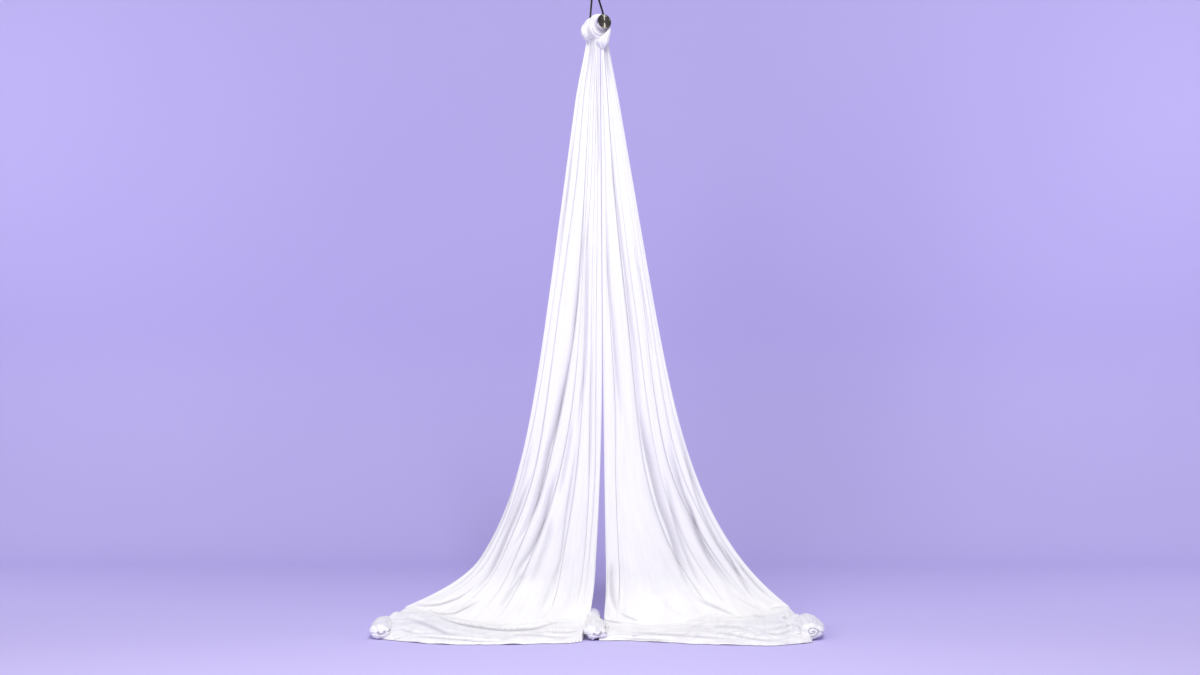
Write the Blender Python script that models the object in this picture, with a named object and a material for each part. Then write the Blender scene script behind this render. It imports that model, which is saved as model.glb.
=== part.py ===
"""Aerial silks: one length of tricot hitched round a crossbar, with both tails hanging to the floor.

The crossbar sits between two turned caps on a bent steel bail, and the bail hangs from a ball-bearing swivel.
Metres, +Z up. The origin is the centre of the hole in the anchor eye, from which everything hangs.
The silks are shown at rest: the pull of the cloth tips the crossbar, back end down.
"""

import math

import bmesh
import bpy
from mathutils import Matrix, Vector

for old in list(bpy.data.objects):
    bpy.data.objects.remove(old, do_unlink=True)

# Fits between pieces
TOUCH_GAP = 0.0003
RUNNING_GAP = 0.0005
OVERRUN = 0.002
MERGE_SHARE = 0.01

# Sides and steps of round pieces
LARGE_SIDES = 48
ROUND_SIDES = 32
BEARING_SIDES = 24
SMALL_SIDES = 12
NUT_SIDES = 6
GROOVE_STEPS = 3
CROWN_STEPS = 10
FOOT_BEND_STEPS = 4
ROD_RESOLUTION = 4
SMOOTH_ANGLE = math.radians(35)

# How the assembly hangs; sideways is a quarter turn, which lays a piece made along Z on its side
SIDEWAYS = math.pi / 2
BAR_HEIGHT = 2.970
BAR_TURN = math.radians(27)
BAR_TILT = math.radians(10)

# Anchor eye, stem and its nut
EYE_HOLE_RADIUS = 0.012
EYE_RADIUS = 0.025
EYE_THICKNESS = 0.012
EYE_CHAMFER = 0.0015
EYE_NECK_DROP = 0.034
COLLAR_RADIUS = 0.018
COLLAR_HEIGHT = 0.006
STEM_RADIUS = 0.007
STEM_END = 0.002
NUT_ACROSS_FLATS = 0.022
NUT_HEIGHT = 0.009
NUT_PIN_RADIUS = 0.0015

# Thrust bearing
RACE_THICKNESS = 0.0035
BALL_RADIUS = 0.0025
BALL_COUNT = 9
GROOVE_DEPTH = 0.001
CAGE_THICKNESS = 0.0016

# Swivel housing, its seal and its screws
HOUSING_RADIUS = 0.023
HOUSING_HEIGHT = 0.040
HOUSING_ROOF = 0.007
HOUSING_CHAMFER = 0.002
CAVITY_RADIUS = 0.017
SEAL_INNER_RADIUS = 0.0095
SEAL_WIDTH = 0.003
SEAL_HEIGHT = 0.0024
SEAL_STAND = 0.0009
LOCK_SCREW_RADIUS = 0.002
LOCK_SCREW_BITE = 0.003
LOCK_SCREW_COUNT = 3

# Fork, its pin and the ring that holds the pin
SPIGOT_HEIGHT = 0.008
FORK_BASE = 0.010
EAR_THICKNESS = 0.008
EAR_RADIUS = 0.016
ROD_SIDE_PLAY = 0.002
CROWN_CLEARANCE = 0.004
FORK_PIN_RADIUS = 0.010
PIN_HEAD_RADIUS = 0.014
PIN_HEAD_THICKNESS = 0.004
PIN_CHAMFER = 0.001
PIN_TAIL = 0.0055
RING_THICKNESS = 0.0012
RING_WIDTH = 0.004
RING_GROOVE_DEPTH = 0.0015
RING_OPENING = math.radians(70)

# Bail
ROD_RADIUS = 0.005
CROWN_RADIUS = 0.017
FOOT_SPAN = 0.150
FOOT_BEND_RADIUS = 0.020
FOOT_STRAIGHT = 0.006
BAIL_DROP = 0.189

# Crossbar, tie rod and caps
BAR_RADIUS = 0.03015
BAR_WALL = 0.003
CAP_RADIUS = 0.0375
CAP_THICKNESS = 0.018
CAP_CHAMFER = 0.0015
CAP_REGISTER = 0.006
RIM_WIDTH = 0.0055
FACE_RECESS = 0.0008
TIE_ROD_RADIUS = 0.008
TIE_ROD_SEAT = 0.009
SOCKET_DEPTH = 0.020
FOOT_SCREW_RADIUS = 0.0025

# Hitch: two turns of gathered cloth, the throat below them and the band that crosses it
TURN_THICKNESS = 0.026
TURN_OVERLAP = 0.006
TURN_END_SHARE = 0.12
TURN_FULLNESS = 0.6
GATHER_DEPTH = 0.0025
GATHERS_PER_TURN = 3
GATHER_STEPS = 3
KNOT_DROP = 0.027
KNOT_BACK = 0.009
THROAT_RADIUS = 0.080
THROAT_TOP_WIDTH = 0.074
THROAT_BOTTOM_WIDTH = 0.108
THROAT_END_CLEARANCE = 0.014
THROAT_BOTTOM_DEPTH = 0.070
THROAT_GATHERS = 9
THROAT_RINGS = 5
SEAT_REACH = math.radians(80)
BAND_WIDTH = 0.044
BAND_THICKNESS = 0.026
BAND_SIDES = 10
# The band's route: shares of the wound cloth's radius, of the band's place in front, and of the radius
BAND_SHARES = (
    (0.80, 1.00, 0.10),
    (0.86, 1.00, -0.35),
    (0.62, 1.00, -0.95),
    (0.25, 0.80, -1.45),
    (0.05, 0.60, -1.90),
)

# Tails: thickness of the cloth's solid, spread of each tail and how it lies on the floor
CLOTH_THICKNESS = 0.0016
TAIL_TOP_DROP = 0.038
PART_TOP = 0.016
PART_DRIFT = 0.021
PART_GAP = 0.006
PART_START_SHARE = 0.5
FOLD_STEPS = 4
FOLD_DEPTH_TOP = 0.050
FOLD_DEPTH_FLOOR = 0.085
HANG_LEAN = 0.075
FLOOR_BEND_RADIUS = 0.070
WRINKLE_HEIGHT = 0.022
WRINKLE_COUNT = 3
HANG_ROWS = 12
BEND_ROWS = 3
LAY_ROWS = 7
HANG_ROW_POWER = 0.8
FRONT_POWER = 4

# Left tail, as seen from the front
LEFT_TOP_WIDTH = 0.062
LEFT_SPREAD = 0.386
LEFT_FLARE = 0.360
LEFT_FLARE_POWER = 8
LEFT_PART_WIDTH = 0.062
LEFT_FOLDS = 6
LEFT_CROWDING = 1.45
LEFT_FRONT = 0.690
LEFT_END_FRONT = 0.470
LEFT_REACH = 1.085
LEFT_ROLL_HEIGHT = 0.060

# Right tail
RIGHT_TOP_WIDTH = 0.059
RIGHT_SPREAD = 0.512
RIGHT_FLARE = 0.380
RIGHT_FLARE_POWER = 7.5
RIGHT_PART_WIDTH = 0.012
RIGHT_FOLDS = 4
RIGHT_CROWDING = 1.4
RIGHT_FRONT = 0.770
RIGHT_END_FRONT = 0.680
RIGHT_REACH = 1.060
RIGHT_ROLL_HEIGHT = 0.055
ROLL_SHARE = 0.06

# Heights of the swivel's pieces, worked out from the eye down
COLLAR_TOP = -EYE_NECK_DROP
COLLAR_BOTTOM = COLLAR_TOP - COLLAR_HEIGHT
HOUSING_TOP = COLLAR_BOTTOM - SEAL_STAND - TOUCH_GAP
HOUSING_BOTTOM = HOUSING_TOP - HOUSING_HEIGHT
CAVITY_TOP = HOUSING_TOP - HOUSING_ROOF
UPPER_RACE_TOP = CAVITY_TOP - TOUCH_GAP
UPPER_RACE_BOTTOM = UPPER_RACE_TOP - RACE_THICKNESS
BALL_SEAT_RADIUS = BALL_RADIUS + TOUCH_GAP
BALL_HEIGHT = UPPER_RACE_BOTTOM + GROOVE_DEPTH - BALL_SEAT_RADIUS
LOWER_RACE_TOP = BALL_HEIGHT - BALL_SEAT_RADIUS + GROOVE_DEPTH
LOWER_RACE_BOTTOM = LOWER_RACE_TOP - RACE_THICKNESS
NUT_TOP = LOWER_RACE_BOTTOM - TOUCH_GAP
NUT_BOTTOM = NUT_TOP - NUT_HEIGHT
STEM_BOTTOM = NUT_BOTTOM - STEM_END
FORK_BASE_TOP = HOUSING_BOTTOM - TOUCH_GAP
FORK_BASE_BOTTOM = FORK_BASE_TOP - FORK_BASE
PIN_SEAT = FORK_PIN_RADIUS + TOUCH_GAP
FORK_PIN_HEIGHT = FORK_BASE_BOTTOM - CROWN_CLEARANCE - 2 * ROD_RADIUS - PIN_SEAT

# Places along the crossbar
CAP_INNER = FOOT_SPAN / 2 - CAP_THICKNESS / 2
THROAT_TOP_DEPTH = 2 * (CAP_INNER - THROAT_END_CLEARANCE)
FORK_HALF_GAP = ROD_RADIUS + ROD_SIDE_PLAY
BAR_BORE_RADIUS = BAR_RADIUS - BAR_WALL
BEARING_INNER = STEM_RADIUS + RUNNING_GAP
BEARING_OUTER = CAVITY_RADIUS - RUNNING_GAP
BALL_CIRCLE = (BEARING_INNER + BEARING_OUTER) / 2


def metal(name, colour, roughness):
    material = bpy.data.materials.new(name)
    material.use_nodes = True
    shader = material.node_tree.nodes["Principled BSDF"]
    shader.inputs["Base Color"].default_value = (*colour, 1)
    shader.inputs["Roughness"].default_value = roughness
    shader.inputs["Metallic"].default_value = 1
    return material


def soft(name, colour, roughness):
    material = metal(name, colour, roughness)
    material.node_tree.nodes["Principled BSDF"].inputs["Metallic"].default_value = 0
    return material


FORGED = metal("forged_steel", (0.42, 0.42, 0.43), 0.38)
TURNED = metal("turned_steel", (0.50, 0.50, 0.51), 0.22)
ROD_STEEL = metal("bent_rod_steel", (0.36, 0.35, 0.34), 0.30)
BEARING_STEEL = metal("bearing_steel", (0.62, 0.62, 0.64), 0.12)
CAGE_BRASS = metal("cage_brass", (0.72, 0.55, 0.26), 0.35)
SCREW_STEEL = metal("dark_screw_steel", (0.10, 0.10, 0.11), 0.45)
SEAL_RUBBER = soft("seal_rubber", (0.02, 0.02, 0.02), 0.70)
TRICOT = soft("white_tricot", (0.90, 0.89, 0.92), 0.62)


def frame_empty(name, parent=None, location=(0, 0, 0), rotation=(0, 0, 0)):
    empty = bpy.data.objects.new(name, None)
    empty.location = location
    empty.rotation_euler = rotation
    empty.parent = parent
    bpy.context.collection.objects.link(empty)
    return empty


def finish(name, bm, material, parent=None, location=(0, 0, 0), rotation=(0, 0, 0)):
    """Makes an object of bm, with its faces pointing out."""
    bmesh.ops.recalc_face_normals(bm, faces=bm.faces)
    mesh = bpy.data.meshes.new(name)
    bm.to_mesh(mesh)
    bm.free()
    mesh.shade_smooth()
    mesh.set_sharp_from_angle(angle=SMOOTH_ANGLE)
    obj = bpy.data.objects.new(name, mesh)
    if material:
        mesh.materials.append(material)
    obj.location = location
    obj.rotation_euler = rotation
    obj.parent = parent
    bpy.context.collection.objects.link(obj)
    return obj


def spun(profile, sides, closed=False):
    """Spins (radius, height) points about Z. A closed profile makes a ring, an open one ends on the axis."""
    bm = bmesh.new()
    verts = [bm.verts.new((radius, 0, height)) for radius, height in profile]
    edges = [bm.edges.new(pair) for pair in zip(verts, verts[1:])]
    if closed:
        edges.append(bm.edges.new((verts[-1], verts[0])))
    turn = 2 * math.pi
    bmesh.ops.spin(bm, geom=verts + edges, axis=(0, 0, 1), angle=turn, steps=sides, use_merge=True)
    bmesh.ops.remove_doubles(bm, verts=bm.verts, dist=TOUCH_GAP * MERGE_SHARE)
    return bm


def plate(outline, low, high):
    """Extrudes an outline in XY from height low to height high."""
    bm = bmesh.new()
    face = bm.faces.new([bm.verts.new((x, y, low)) for x, y in outline])
    top = bmesh.ops.extrude_face_region(bm, geom=[face])["geom"]
    raised = [v for v in top if isinstance(v, bmesh.types.BMVert)]
    bmesh.ops.translate(bm, vec=(0, 0, high - low), verts=raised)
    return bm


def cylinder(radius, low, high, sides):
    return spun([(0, low), (radius, low), (radius, high), (0, high)], sides)


def hidden(obj):
    obj.hide_render = True
    obj.display_type = "WIRE"
    return obj


def boolean(target, tool, operation):
    modifier = target.modifiers.new(operation.lower(), "BOOLEAN")
    modifier.operation = operation
    modifier.solver = "EXACT"
    modifier.object = hidden(tool)


def cut(target, *tools):
    for tool in tools:
        boolean(target, tool, "DIFFERENCE")


def weld(target, *tools):
    for tool in tools:
        boolean(target, tool, "UNION")


def arc(radius, start, end, steps, centre=(0, 0)):
    angles = [start + (end - start) * k / steps for k in range(steps + 1)]
    return [(centre[0] + radius * math.cos(a), centre[1] + radius * math.sin(a)) for a in angles]


def mix(a, b, share):
    return a + (b - a) * share


def ease(share):
    return share * share * (3 - 2 * share)


# Frames: the swivel turns about Z, the bail rocks about the fork pin, the crossbar is fixed in the bail
swivel_frame = frame_empty("swivel_frame", rotation=(0, 0, BAR_TURN))
fork_frame = frame_empty("fork_frame", swivel_frame, (0, 0, FORK_PIN_HEIGHT))
bail_frame = frame_empty("bail_frame", fork_frame, rotation=(-BAR_TILT, 0, 0))
bar_frame = frame_empty("bar_frame", bail_frame, (0, 0, -BAIL_DROP))

bar_turning = Matrix.Rotation(BAR_TURN, 3, "Z") @ Matrix.Rotation(-BAR_TILT, 3, "X")
BAR_MIDDLE = Vector((0, 0, FORK_PIN_HEIGHT)) + bar_turning @ Vector((0, 0, -BAIL_DROP))
KNOT = BAR_MIDDLE + Vector((0, KNOT_BACK, -KNOT_DROP))
FLOOR = BAR_MIDDLE.z - BAR_HEIGHT
knot_frame = frame_empty("knot_frame", location=KNOT)


def anchor_eye():
    """A forged eye whose collar and stem carry the bearing."""
    lean = math.asin(1 - COLLAR_RADIUS / EYE_RADIUS)
    outline = arc(EYE_RADIUS, -lean, math.pi + lean, ROUND_SIDES)
    foot = COLLAR_BOTTOM + COLLAR_HEIGHT / 2
    outline += [(-COLLAR_RADIUS, foot), (COLLAR_RADIUS, foot)]
    blank = plate(outline, -EYE_THICKNESS / 2, EYE_THICKNESS / 2)
    lug = finish("anchor_eye", blank, FORGED, rotation=(SIDEWAYS, 0, 0))
    chamfer = lug.modifiers.new("edges", "BEVEL")
    chamfer.width = EYE_CHAMFER
    chamfer.segments = 1
    chamfer.limit_method = "ANGLE"
    mouth = EYE_HOLE_RADIUS + EYE_CHAMFER + OVERRUN
    face = EYE_THICKNESS / 2
    profile = [(0, -face - OVERRUN), (mouth, -face - OVERRUN), (EYE_HOLE_RADIUS, -face + EYE_CHAMFER)]
    profile += [(EYE_HOLE_RADIUS, face - EYE_CHAMFER), (mouth, face + OVERRUN), (0, face + OVERRUN)]
    hole = finish("eye_hole", spun(profile, ROUND_SIDES), None, rotation=(SIDEWAYS, 0, 0))
    stem_profile = [(0, COLLAR_TOP), (COLLAR_RADIUS, COLLAR_TOP), (COLLAR_RADIUS, COLLAR_BOTTOM)]
    stem_profile += [(STEM_RADIUS, COLLAR_BOTTOM), (STEM_RADIUS, STEM_BOTTOM), (0, STEM_BOTTOM)]
    stem = finish("stem_blank", spun(stem_profile, ROUND_SIDES), None)
    weld(lug, stem)
    cut(lug, hole, nut_pin_hole())
    return lug


def nut_pin_hole():
    half = NUT_ACROSS_FLATS / 2 + OVERRUN
    bm = cylinder(NUT_PIN_RADIUS + TOUCH_GAP, -half, half, SMALL_SIDES)
    place = (0, 0, NUT_BOTTOM + NUT_HEIGHT / 2)
    return finish("nut_pin_hole", bm, None, location=place, rotation=(0, SIDEWAYS, 0))


def stem_nut():
    corner = NUT_ACROSS_FLATS / 2 / math.cos(math.pi / NUT_SIDES)
    angles = [(2 * k + 1) * math.pi / NUT_SIDES for k in range(NUT_SIDES)]
    outline = [(corner * math.cos(a), corner * math.sin(a)) for a in angles]
    nut = finish("stem_nut", plate(outline, NUT_BOTTOM, NUT_TOP), BEARING_STEEL)
    thread = cylinder(STEM_RADIUS + TOUCH_GAP, NUT_BOTTOM - OVERRUN, NUT_TOP + OVERRUN, ROUND_SIDES)
    cut(nut, finish("nut_thread", thread, None), nut_pin_hole())


def nut_pin():
    half = NUT_ACROSS_FLATS / 2 - TOUCH_GAP
    bm = cylinder(NUT_PIN_RADIUS, -half, half, SMALL_SIDES)
    place = (0, 0, NUT_BOTTOM + NUT_HEIGHT / 2)
    finish("nut_pin", bm, SCREW_STEEL, location=place, rotation=(0, SIDEWAYS, 0))


def race(name, flat, back):
    """A washer with a groove for the balls in its face at height flat; its other face is at height back."""
    reach = math.acos(1 - GROOVE_DEPTH / BALL_SEAT_RADIUS)
    inward = 1 if back > flat else -1
    middle = flat - inward * (BALL_SEAT_RADIUS - GROOVE_DEPTH)
    seat = inward * BALL_SEAT_RADIUS
    angles = [-reach + 2 * reach * k / GROOVE_STEPS for k in range(GROOVE_STEPS + 1)]
    groove = [(BALL_CIRCLE + BALL_SEAT_RADIUS * math.sin(a), middle + seat * math.cos(a)) for a in angles]
    profile = [(BEARING_INNER, flat), *groove, (BEARING_OUTER, flat)]
    profile += [(BEARING_OUTER, back), (BEARING_INNER, back)]
    finish(name, spun(profile, BEARING_SIDES, closed=True), BEARING_STEEL)


def ball_places():
    angles = [2 * math.pi * k / BALL_COUNT for k in range(BALL_COUNT)]
    return [Vector((BALL_CIRCLE * math.cos(a), BALL_CIRCLE * math.sin(a), BALL_HEIGHT)) for a in angles]


def bearing_balls():
    for k, place in enumerate(ball_places()):
        bm = bmesh.new()
        bmesh.ops.create_icosphere(bm, subdivisions=2, radius=BALL_RADIUS)
        finish(f"bearing_ball_{k + 1}", bm, BEARING_STEEL, location=place)


def bearing_cage():
    low, high = BALL_HEIGHT - CAGE_THICKNESS / 2, BALL_HEIGHT + CAGE_THICKNESS / 2
    inner, outer = BEARING_INNER + RUNNING_GAP, BEARING_OUTER - RUNNING_GAP
    profile = [(inner, low), (outer, low), (outer, high), (inner, high)]
    cage = finish("bearing_cage", spun(profile, BEARING_SIDES, closed=True), CAGE_BRASS)
    tall = CAGE_THICKNESS + OVERRUN
    for place in ball_places():
        pocket = cylinder(BALL_SEAT_RADIUS, -tall, tall, SMALL_SIDES)
        cut(cage, finish("cage_pocket", pocket, None, location=place))


def lock_screw(name, place, radius, inner, outer, material):
    """A radial screw, or its hole, through the housing at half the spigot's height."""
    angle = 2 * math.pi * place / LOCK_SCREW_COUNT
    height = HOUSING_BOTTOM + SPIGOT_HEIGHT / 2
    bm = cylinder(radius, inner, outer, SMALL_SIDES)
    return finish(name, bm, material, swivel_frame, (0, 0, height), (0, SIDEWAYS, angle))


def lock_screw_holes():
    inner = CAVITY_RADIUS - LOCK_SCREW_BITE - TOUCH_GAP
    radius, outer = LOCK_SCREW_RADIUS + TOUCH_GAP, HOUSING_RADIUS + OVERRUN
    places = range(LOCK_SCREW_COUNT)
    return [lock_screw(f"lock_screw_hole_{k}", k, radius, inner, outer, None) for k in places]


def housing_screws():
    inner = CAVITY_RADIUS - LOCK_SCREW_BITE
    outer = HOUSING_RADIUS - HOUSING_CHAMFER / 2
    for k in range(LOCK_SCREW_COUNT):
        lock_screw(f"housing_screw_{k + 1}", k, LOCK_SCREW_RADIUS, inner, outer, SCREW_STEEL)


def swivel_housing():
    bore = STEM_RADIUS + RUNNING_GAP
    seal_in, seal_out = SEAL_INNER_RADIUS - TOUCH_GAP, SEAL_INNER_RADIUS + SEAL_WIDTH + TOUCH_GAP
    seal_floor = HOUSING_TOP + SEAL_STAND - SEAL_HEIGHT - TOUCH_GAP
    profile = [(bore, HOUSING_TOP), (seal_in, HOUSING_TOP), (seal_in, seal_floor), (seal_out, seal_floor)]
    profile += [(seal_out, HOUSING_TOP), (HOUSING_RADIUS - HOUSING_CHAMFER, HOUSING_TOP)]
    profile += [(HOUSING_RADIUS, HOUSING_TOP - HOUSING_CHAMFER), (HOUSING_RADIUS, HOUSING_BOTTOM)]
    profile += [(CAVITY_RADIUS, HOUSING_BOTTOM), (CAVITY_RADIUS, CAVITY_TOP), (bore, CAVITY_TOP)]
    housing = finish("swivel_housing", spun(profile, ROUND_SIDES, closed=True), TURNED, swivel_frame)
    cut(housing, *lock_screw_holes())


def stem_seal():
    inner, outer = SEAL_INNER_RADIUS, SEAL_INNER_RADIUS + SEAL_WIDTH
    top = HOUSING_TOP + SEAL_STAND
    profile = [(inner, top - SEAL_HEIGHT), (outer, top - SEAL_HEIGHT), (outer, top), (inner, top)]
    finish("stem_seal", spun(profile, ROUND_SIDES, closed=True), SEAL_RUBBER, swivel_frame)


def fork_ear(name, inner, outer):
    """One ear of the fork, between two distances from the middle, rounded about the pin."""
    height = FORK_BASE_BOTTOM - FORK_PIN_HEIGHT + FORK_BASE / 2
    outline = arc(EAR_RADIUS, math.pi, 2 * math.pi, ROUND_SIDES // 2)
    outline += [(EAR_RADIUS, height), (-EAR_RADIUS, height)]
    bm = plate(outline, inner, outer)
    stand = Matrix.Rotation(SIDEWAYS, 3, "Z") @ Matrix.Rotation(SIDEWAYS, 3, "X")
    bmesh.ops.transform(bm, matrix=stand.to_4x4(), verts=bm.verts)
    return finish(name, bm, FORGED, fork_frame)


def swivel_fork():
    spigot = CAVITY_RADIUS - TOUCH_GAP
    top = FORK_BASE_TOP + SPIGOT_HEIGHT
    profile = [(0, top), (spigot, top), (spigot, FORK_BASE_TOP)]
    profile += [(HOUSING_RADIUS, FORK_BASE_TOP), (HOUSING_RADIUS, FORK_BASE_BOTTOM + HOUSING_CHAMFER)]
    profile += [(HOUSING_RADIUS - HOUSING_CHAMFER, FORK_BASE_BOTTOM), (0, FORK_BASE_BOTTOM)]
    fork = finish("swivel_fork", spun(profile, ROUND_SIDES), FORGED, swivel_frame)
    outer = FORK_HALF_GAP + EAR_THICKNESS
    weld(fork, fork_ear("ear_right", FORK_HALF_GAP, outer), fork_ear("ear_left", -outer, -FORK_HALF_GAP))
    half = outer + OVERRUN
    bore = cylinder(PIN_SEAT, -half, half, ROUND_SIDES)
    hole = finish("fork_pin_hole", bore, None, fork_frame, rotation=(0, SIDEWAYS, 0))
    cut(fork, hole, *lock_screw_holes())


def fork_pin():
    """A clevis pin with a head on one side and a ring groove on the other."""
    start = FORK_HALF_GAP + EAR_THICKNESS + TOUCH_GAP
    ring_high = start + RING_THICKNESS + 2 * TOUCH_GAP
    groove = FORK_PIN_RADIUS - RING_GROOVE_DEPTH
    head_edge = PIN_HEAD_RADIUS - PIN_CHAMFER
    head_top = -start - PIN_HEAD_THICKNESS
    tail = start + PIN_TAIL
    profile = [(0, head_top), (head_edge, head_top), (PIN_HEAD_RADIUS, head_top + PIN_CHAMFER)]
    profile += [(PIN_HEAD_RADIUS, -start), (FORK_PIN_RADIUS, -start), (FORK_PIN_RADIUS, start)]
    profile += [(groove, start), (groove, ring_high), (FORK_PIN_RADIUS, ring_high)]
    profile += [(FORK_PIN_RADIUS, tail - PIN_CHAMFER), (FORK_PIN_RADIUS - PIN_CHAMFER, tail), (0, tail)]
    finish("fork_pin", spun(profile, ROUND_SIDES), TURNED, fork_frame, rotation=(0, SIDEWAYS, 0))


def pin_ring():
    inner = FORK_PIN_RADIUS - RING_GROOVE_DEPTH + TOUCH_GAP
    outer = inner + RING_WIDTH
    start, end = RING_OPENING / 2, 2 * math.pi - RING_OPENING / 2
    outline = arc(outer, start, end, ROUND_SIDES) + arc(inner, end, start, ROUND_SIDES)
    low = FORK_HALF_GAP + EAR_THICKNESS + 2 * TOUCH_GAP
    bm = plate(outline, low, low + RING_THICKNESS)
    finish("pin_ring", bm, SCREW_STEEL, fork_frame, rotation=(0, SIDEWAYS, 0))


def bail_route():
    """The rod's middle line from the front foot to the back foot: (along the bar, height)."""
    crown = Vector((0, PIN_SEAT + ROD_RADIUS - CROWN_RADIUS))
    rim = CAP_RADIUS - BAIL_DROP
    corner = Vector((FOOT_SPAN / 2, rim + FOOT_STRAIGHT))
    reach = corner - crown
    slope = math.atan2(reach.x, -reach.y) - math.asin(CROWN_RADIUS / reach.length)
    over = SIDEWAYS - slope
    angles = [over * k / CROWN_STEPS for k in range(CROWN_STEPS + 1)]
    half = [(CROWN_RADIUS * math.sin(a), crown.y + CROWN_RADIUS * math.cos(a)) for a in angles]
    tangent = FOOT_BEND_RADIUS * math.tan(slope / 2)
    bend_centre = (corner.x - FOOT_BEND_RADIUS, corner.y - tangent)
    half += arc(FOOT_BEND_RADIUS, slope, 0, FOOT_BEND_STEPS, bend_centre)
    half.append((corner.x, rim - SOCKET_DEPTH + TOUCH_GAP))
    return [(-along, height) for along, height in reversed(half)] + half[1:]


def bail():
    curve = bpy.data.curves.new("bail", "CURVE")
    curve.dimensions = "3D"
    curve.bevel_depth = ROD_RADIUS
    curve.bevel_resolution = ROD_RESOLUTION
    curve.use_fill_caps = True
    route = bail_route()
    spline = curve.splines.new("POLY")
    spline.points.add(len(route) - 1)
    for point, (along, height) in zip(spline.points, route):
        point.co = (0, along, height, 1)
    obj = bpy.data.objects.new("bail", curve)
    curve.materials.append(ROD_STEEL)
    obj.parent = bail_frame
    bpy.context.collection.objects.link(obj)


def foot_socket(name, side):
    low = CAP_RADIUS - SOCKET_DEPTH
    bm = cylinder(ROD_RADIUS + TOUCH_GAP, low, CAP_RADIUS + OVERRUN, ROUND_SIDES)
    return finish(name, bm, None, bar_frame, (0, side * FOOT_SPAN / 2, 0))


def foot_screw(name, side, radius, inner, outer, material):
    """A grub screw, or its hole, that locks one foot of the bail from the cap's inner face."""
    bm = cylinder(radius, inner, outer, SMALL_SIDES)
    height = (BAR_RADIUS + CAP_RADIUS) / 2
    return finish(name, bm, material, bar_frame, (0, 0, height), (-side * SIDEWAYS, 0, 0))


def foot_screws():
    inner, outer = CAP_INNER + TOUCH_GAP, FOOT_SPAN / 2 - ROD_RADIUS - TOUCH_GAP
    foot_screw("front_foot_screw", -1, FOOT_SCREW_RADIUS, inner, outer, SCREW_STEEL)
    foot_screw("back_foot_screw", 1, FOOT_SCREW_RADIUS, inner, outer, SCREW_STEEL)


def cap(name, side):
    """A turned cap: a recessed face inside a rim, and a register that fits the crossbar's bore."""
    bore = TIE_ROD_RADIUS + TOUCH_GAP
    register = BAR_BORE_RADIUS - TOUCH_GAP
    top, edge = CAP_THICKNESS, CAP_RADIUS - CAP_CHAMFER
    rim = CAP_RADIUS - RIM_WIDTH
    profile = [(0, TIE_ROD_SEAT), (bore, TIE_ROD_SEAT), (bore, -CAP_REGISTER), (register, -CAP_REGISTER)]
    profile += [(register, 0), (edge, 0), (CAP_RADIUS, CAP_CHAMFER), (CAP_RADIUS, top - CAP_CHAMFER)]
    profile += [(edge, top)]
    profile += [(rim, top), (rim - FACE_RECESS, top - FACE_RECESS), (0, top - FACE_RECESS)]
    lay = (-side * SIDEWAYS, 0, 0)
    obj = finish(name, spun(profile, LARGE_SIDES), TURNED, bar_frame, (0, side * CAP_INNER, 0), lay)
    radius = FOOT_SCREW_RADIUS + TOUCH_GAP
    hole = foot_screw(name + "_screw_hole", side, radius, CAP_INNER - OVERRUN, FOOT_SPAN / 2, None)
    cut(obj, foot_socket(name + "_socket", side), hole)


def crossbar():
    end = CAP_INNER - TOUCH_GAP
    profile = [(BAR_BORE_RADIUS, -end), (BAR_RADIUS, -end), (BAR_RADIUS, end), (BAR_BORE_RADIUS, end)]
    finish("crossbar", spun(profile, LARGE_SIDES, closed=True), TURNED, bar_frame, rotation=(SIDEWAYS, 0, 0))


def tie_rod():
    end = CAP_INNER + TIE_ROD_SEAT - TOUCH_GAP
    bm = cylinder(TIE_ROD_RADIUS, -end, end, ROUND_SIDES)
    finish("tie_rod", bm, FORGED, bar_frame, rotation=(SIDEWAYS, 0, 0))


def turn_of_cloth(name, start, end):
    """One turn of gathered cloth between two places along the crossbar; its ridges run round the bar."""
    steps = GATHER_STEPS * GATHERS_PER_TURN
    inner = BAR_RADIUS + TOUCH_GAP
    profile = [(inner, start), (inner, end)]
    for k in range(steps + 1):
        share = k / steps
        swell = math.sin(math.pi * mix(TURN_END_SHARE, 1 - TURN_END_SHARE, share)) ** TURN_FULLNESS
        ridge = GATHER_DEPTH * math.cos(2 * math.pi * GATHERS_PER_TURN * share)
        profile.append((inner + TURN_THICKNESS * swell + ridge, mix(end, start, share)))
    bm = spun(profile, ROUND_SIDES, closed=True)
    return finish(name, bm, TRICOT, bar_frame, rotation=(-SIDEWAYS, 0, 0))


def join(bm, loops):
    """Joins loops of vertices into a closed tube."""
    sides = len(loops[0])
    for upper, lower in zip(loops, loops[1:]):
        for k in range(sides):
            bm.faces.new((upper[k], upper[(k + 1) % sides], lower[(k + 1) % sides], lower[k]))
    bm.faces.new(loops[0])
    bm.faces.new(loops[-1])


def throat():
    """The gathered cloth below the turns, from inside them down past the round seat of the tails."""
    sides = GATHER_STEPS * THROAT_GATHERS
    bm = bmesh.new()
    low = -THROAT_RADIUS - OVERRUN
    loops = []
    for ring in range(THROAT_RINGS + 1):
        share = ring / THROAT_RINGS
        wide = mix(THROAT_TOP_WIDTH, THROAT_BOTTOM_WIDTH, ease(share)) / 2
        deep = mix(THROAT_TOP_DEPTH, THROAT_BOTTOM_DEPTH, ease(share)) / 2
        height = mix(KNOT_DROP / 2, low, share)
        loop = []
        for k in range(sides):
            angle = 2 * math.pi * k / sides
            ridge = 1 + GATHER_DEPTH / wide * math.cos(THROAT_GATHERS * angle)
            x, y = wide * ridge * math.cos(angle), deep * ridge * math.sin(angle)
            loop.append(bm.verts.new((x, y, height)))
        loops.append(loop)
    join(bm, loops)
    return finish("throat", bm, None, knot_frame)


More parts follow.
